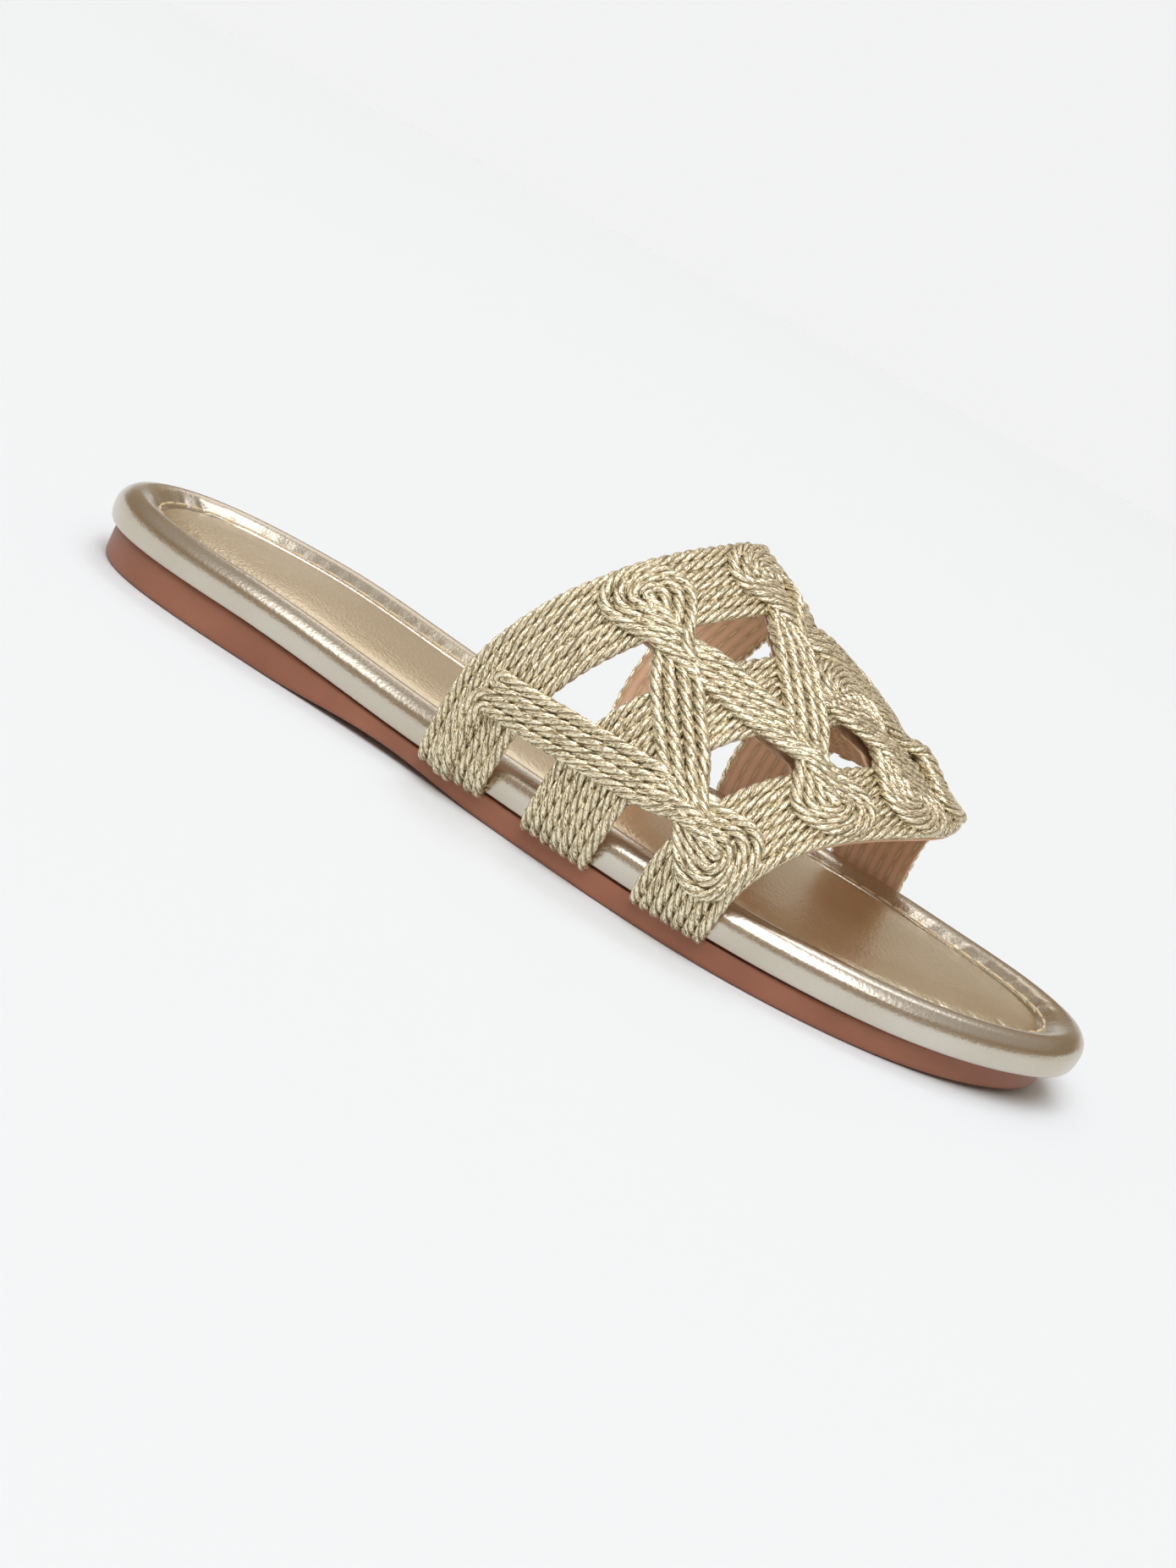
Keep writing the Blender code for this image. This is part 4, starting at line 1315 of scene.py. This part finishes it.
class MULE_OT_ornament(bpy.types.Operator):
    """Figure-eight of cord on the centre line"""

    bl_idname = "mule.ornament"
    bl_label = "Rope ornament"

    def execute(self, context):
        rope_piece("rope_figure_eight", figure_eight_ropes(), FIGURE_EIGHT_SEED, closed=True)
        return {"FINISHED"}


# Stage


def studio_world():
    """Surroundings of the stage: a ramp by elevation with the softbox and its bounce in it."""
    world = bpy.data.worlds.new("studio")
    world.use_nodes = True
    world.node_tree.nodes.clear()
    add = partial(add_node, world.node_tree)
    heading = add("ShaderNodeTexCoord", out="Generated")
    parts = add("ShaderNodeSeparateXYZ", {0: heading}).node.outputs
    room = add("ShaderNodeValToRGB", {0: parts["Z"]})
    stops = room.node.color_ramp.elements
    while len(stops) < len(SURROUNDINGS):
        stops.new(1.0)
    for stop, (place, colour) in zip(stops, SURROUNDINGS):
        stop.position = place
        stop.color = (*colour, 1.0)
    lateral = add(MATH, {0: parts["X"], 1: -1.0}, operation="MULTIPLY")
    medial = add(MATH, {0: parts["X"], 1: BOUNCE_SHARE}, operation="MULTIPLY")
    aside = add(MATH, {0: lateral, 1: medial}, operation="MAXIMUM")
    lift = add(MATH, {0: parts["Z"], 1: math.sin(SOFTBOX_TILT)}, operation="MULTIPLY")
    facing = add(MATH, {0: aside, 1: math.cos(SOFTBOX_TILT), 2: lift}, operation="MULTIPLY_ADD")
    low, high = SOFTBOX_EDGE
    inside = add(RANGE, {"Value": facing, "From Min": low, "From Max": high})
    colour = add("ShaderNodeMix", {0: inside, 6: room, 7: SOFTBOX_LIGHT}, 2, data_type="RGBA")
    back = add("ShaderNodeBackground", {"Color": colour, "Strength": 1.0})
    add("ShaderNodeOutputWorld", {"Surface": back})
    return world


class MULE_OT_stage(bpy.types.Operator):
    """White floor, soft lights and camera"""

    bl_idname = "mule.stage"
    bl_label = "Stage"

    def execute(self, context):
        scene = context.scene
        rim = [2.0 * math.pi * k / FLOOR_SIDES for k in range(FLOOR_SIDES)]
        points = [(FLOOR_REACH * math.cos(t), FLOOR_REACH * math.sin(t), 0.0) for t in rim]
        mesh = bpy.data.meshes.new("floor_white")
        mesh.from_pydata(points, [], [tuple(range(FLOOR_SIDES))])
        mesh.materials.append(floor_paint())
        floor = add_object("floor_white", mesh)

        for row in LIGHTS:
            light = bpy.data.lights.new(row.name, "AREA")
            light.shape = "RECTANGLE"
            light.size = row.width
            light.size_y = row.height
            light.energy = row.power
            lamp = add_object(row.name, light)
            lamp.location = row.place
            lamp.rotation_euler = (-Vector(row.place)).to_track_quat("-Z", "Y").to_euler()
        scene.world = studio_world()
        scene.view_settings.view_transform = "Standard"

        camera = bpy.data.cameras.new("camera")
        camera.sensor_width = SENSOR
        camera.lens = CAMERA_FOCUS * SENSOR / IMAGE_HEIGHT
        camera.clip_start = NEAR_CLIP
        eye = add_object("camera", camera)
        place = Vector(CAMERA_PLACE) * MM
        look = (Vector(CAMERA_AIM) * MM - place).to_track_quat("-Z", "Y").to_matrix().to_4x4()
        eye.matrix_world = Matrix.Translation(place) @ look @ Matrix.Rotation(CAMERA_ROLL, 4, "Z")
        scene.camera = eye
        return {"FINISHED"}


STEPS = (
    MULE_OT_outsole,
    MULE_OT_footbed,
    MULE_OT_insole,
    MULE_OT_channel,
    MULE_OT_lining,
    MULE_OT_bands,
    MULE_OT_zigzag,
    MULE_OT_ornament,
    MULE_OT_stage,
)


class MULE_PT_panel(bpy.types.Panel):
    """Sidebar list of the mule's pieces"""

    bl_idname = "MULE_PT_panel"
    bl_label = "Rope slide mule"
    bl_space_type = "VIEW_3D"
    bl_region_type = "UI"
    bl_category = "Mule"

    def draw(self, context):
        for step in STEPS:
            self.layout.operator(step.bl_idname)


CLASSES = (MuleRope, MuleColours) + STEPS + (MULE_PT_panel,)


def register():
    """Register the classes and the scene's sizes and colours."""
    for kind in CLASSES:
        bpy.utils.register_class(kind)
    bpy.types.Scene.mule_rope = PointerProperty(type=MuleRope)
    bpy.types.Scene.mule_colours = PointerProperty(type=MuleColours)


def unregister():
    """Remove what register added."""
    del bpy.types.Scene.mule_colours
    del bpy.types.Scene.mule_rope
    for kind in reversed(CLASSES):
        bpy.utils.unregister_class(kind)


def main():
    """Build every piece in order."""
    register()
    for step in STEPS:
        group, name = step.bl_idname.split(".")
        getattr(getattr(bpy.ops, group), name)()


if __name__ == "__main__":
    main()
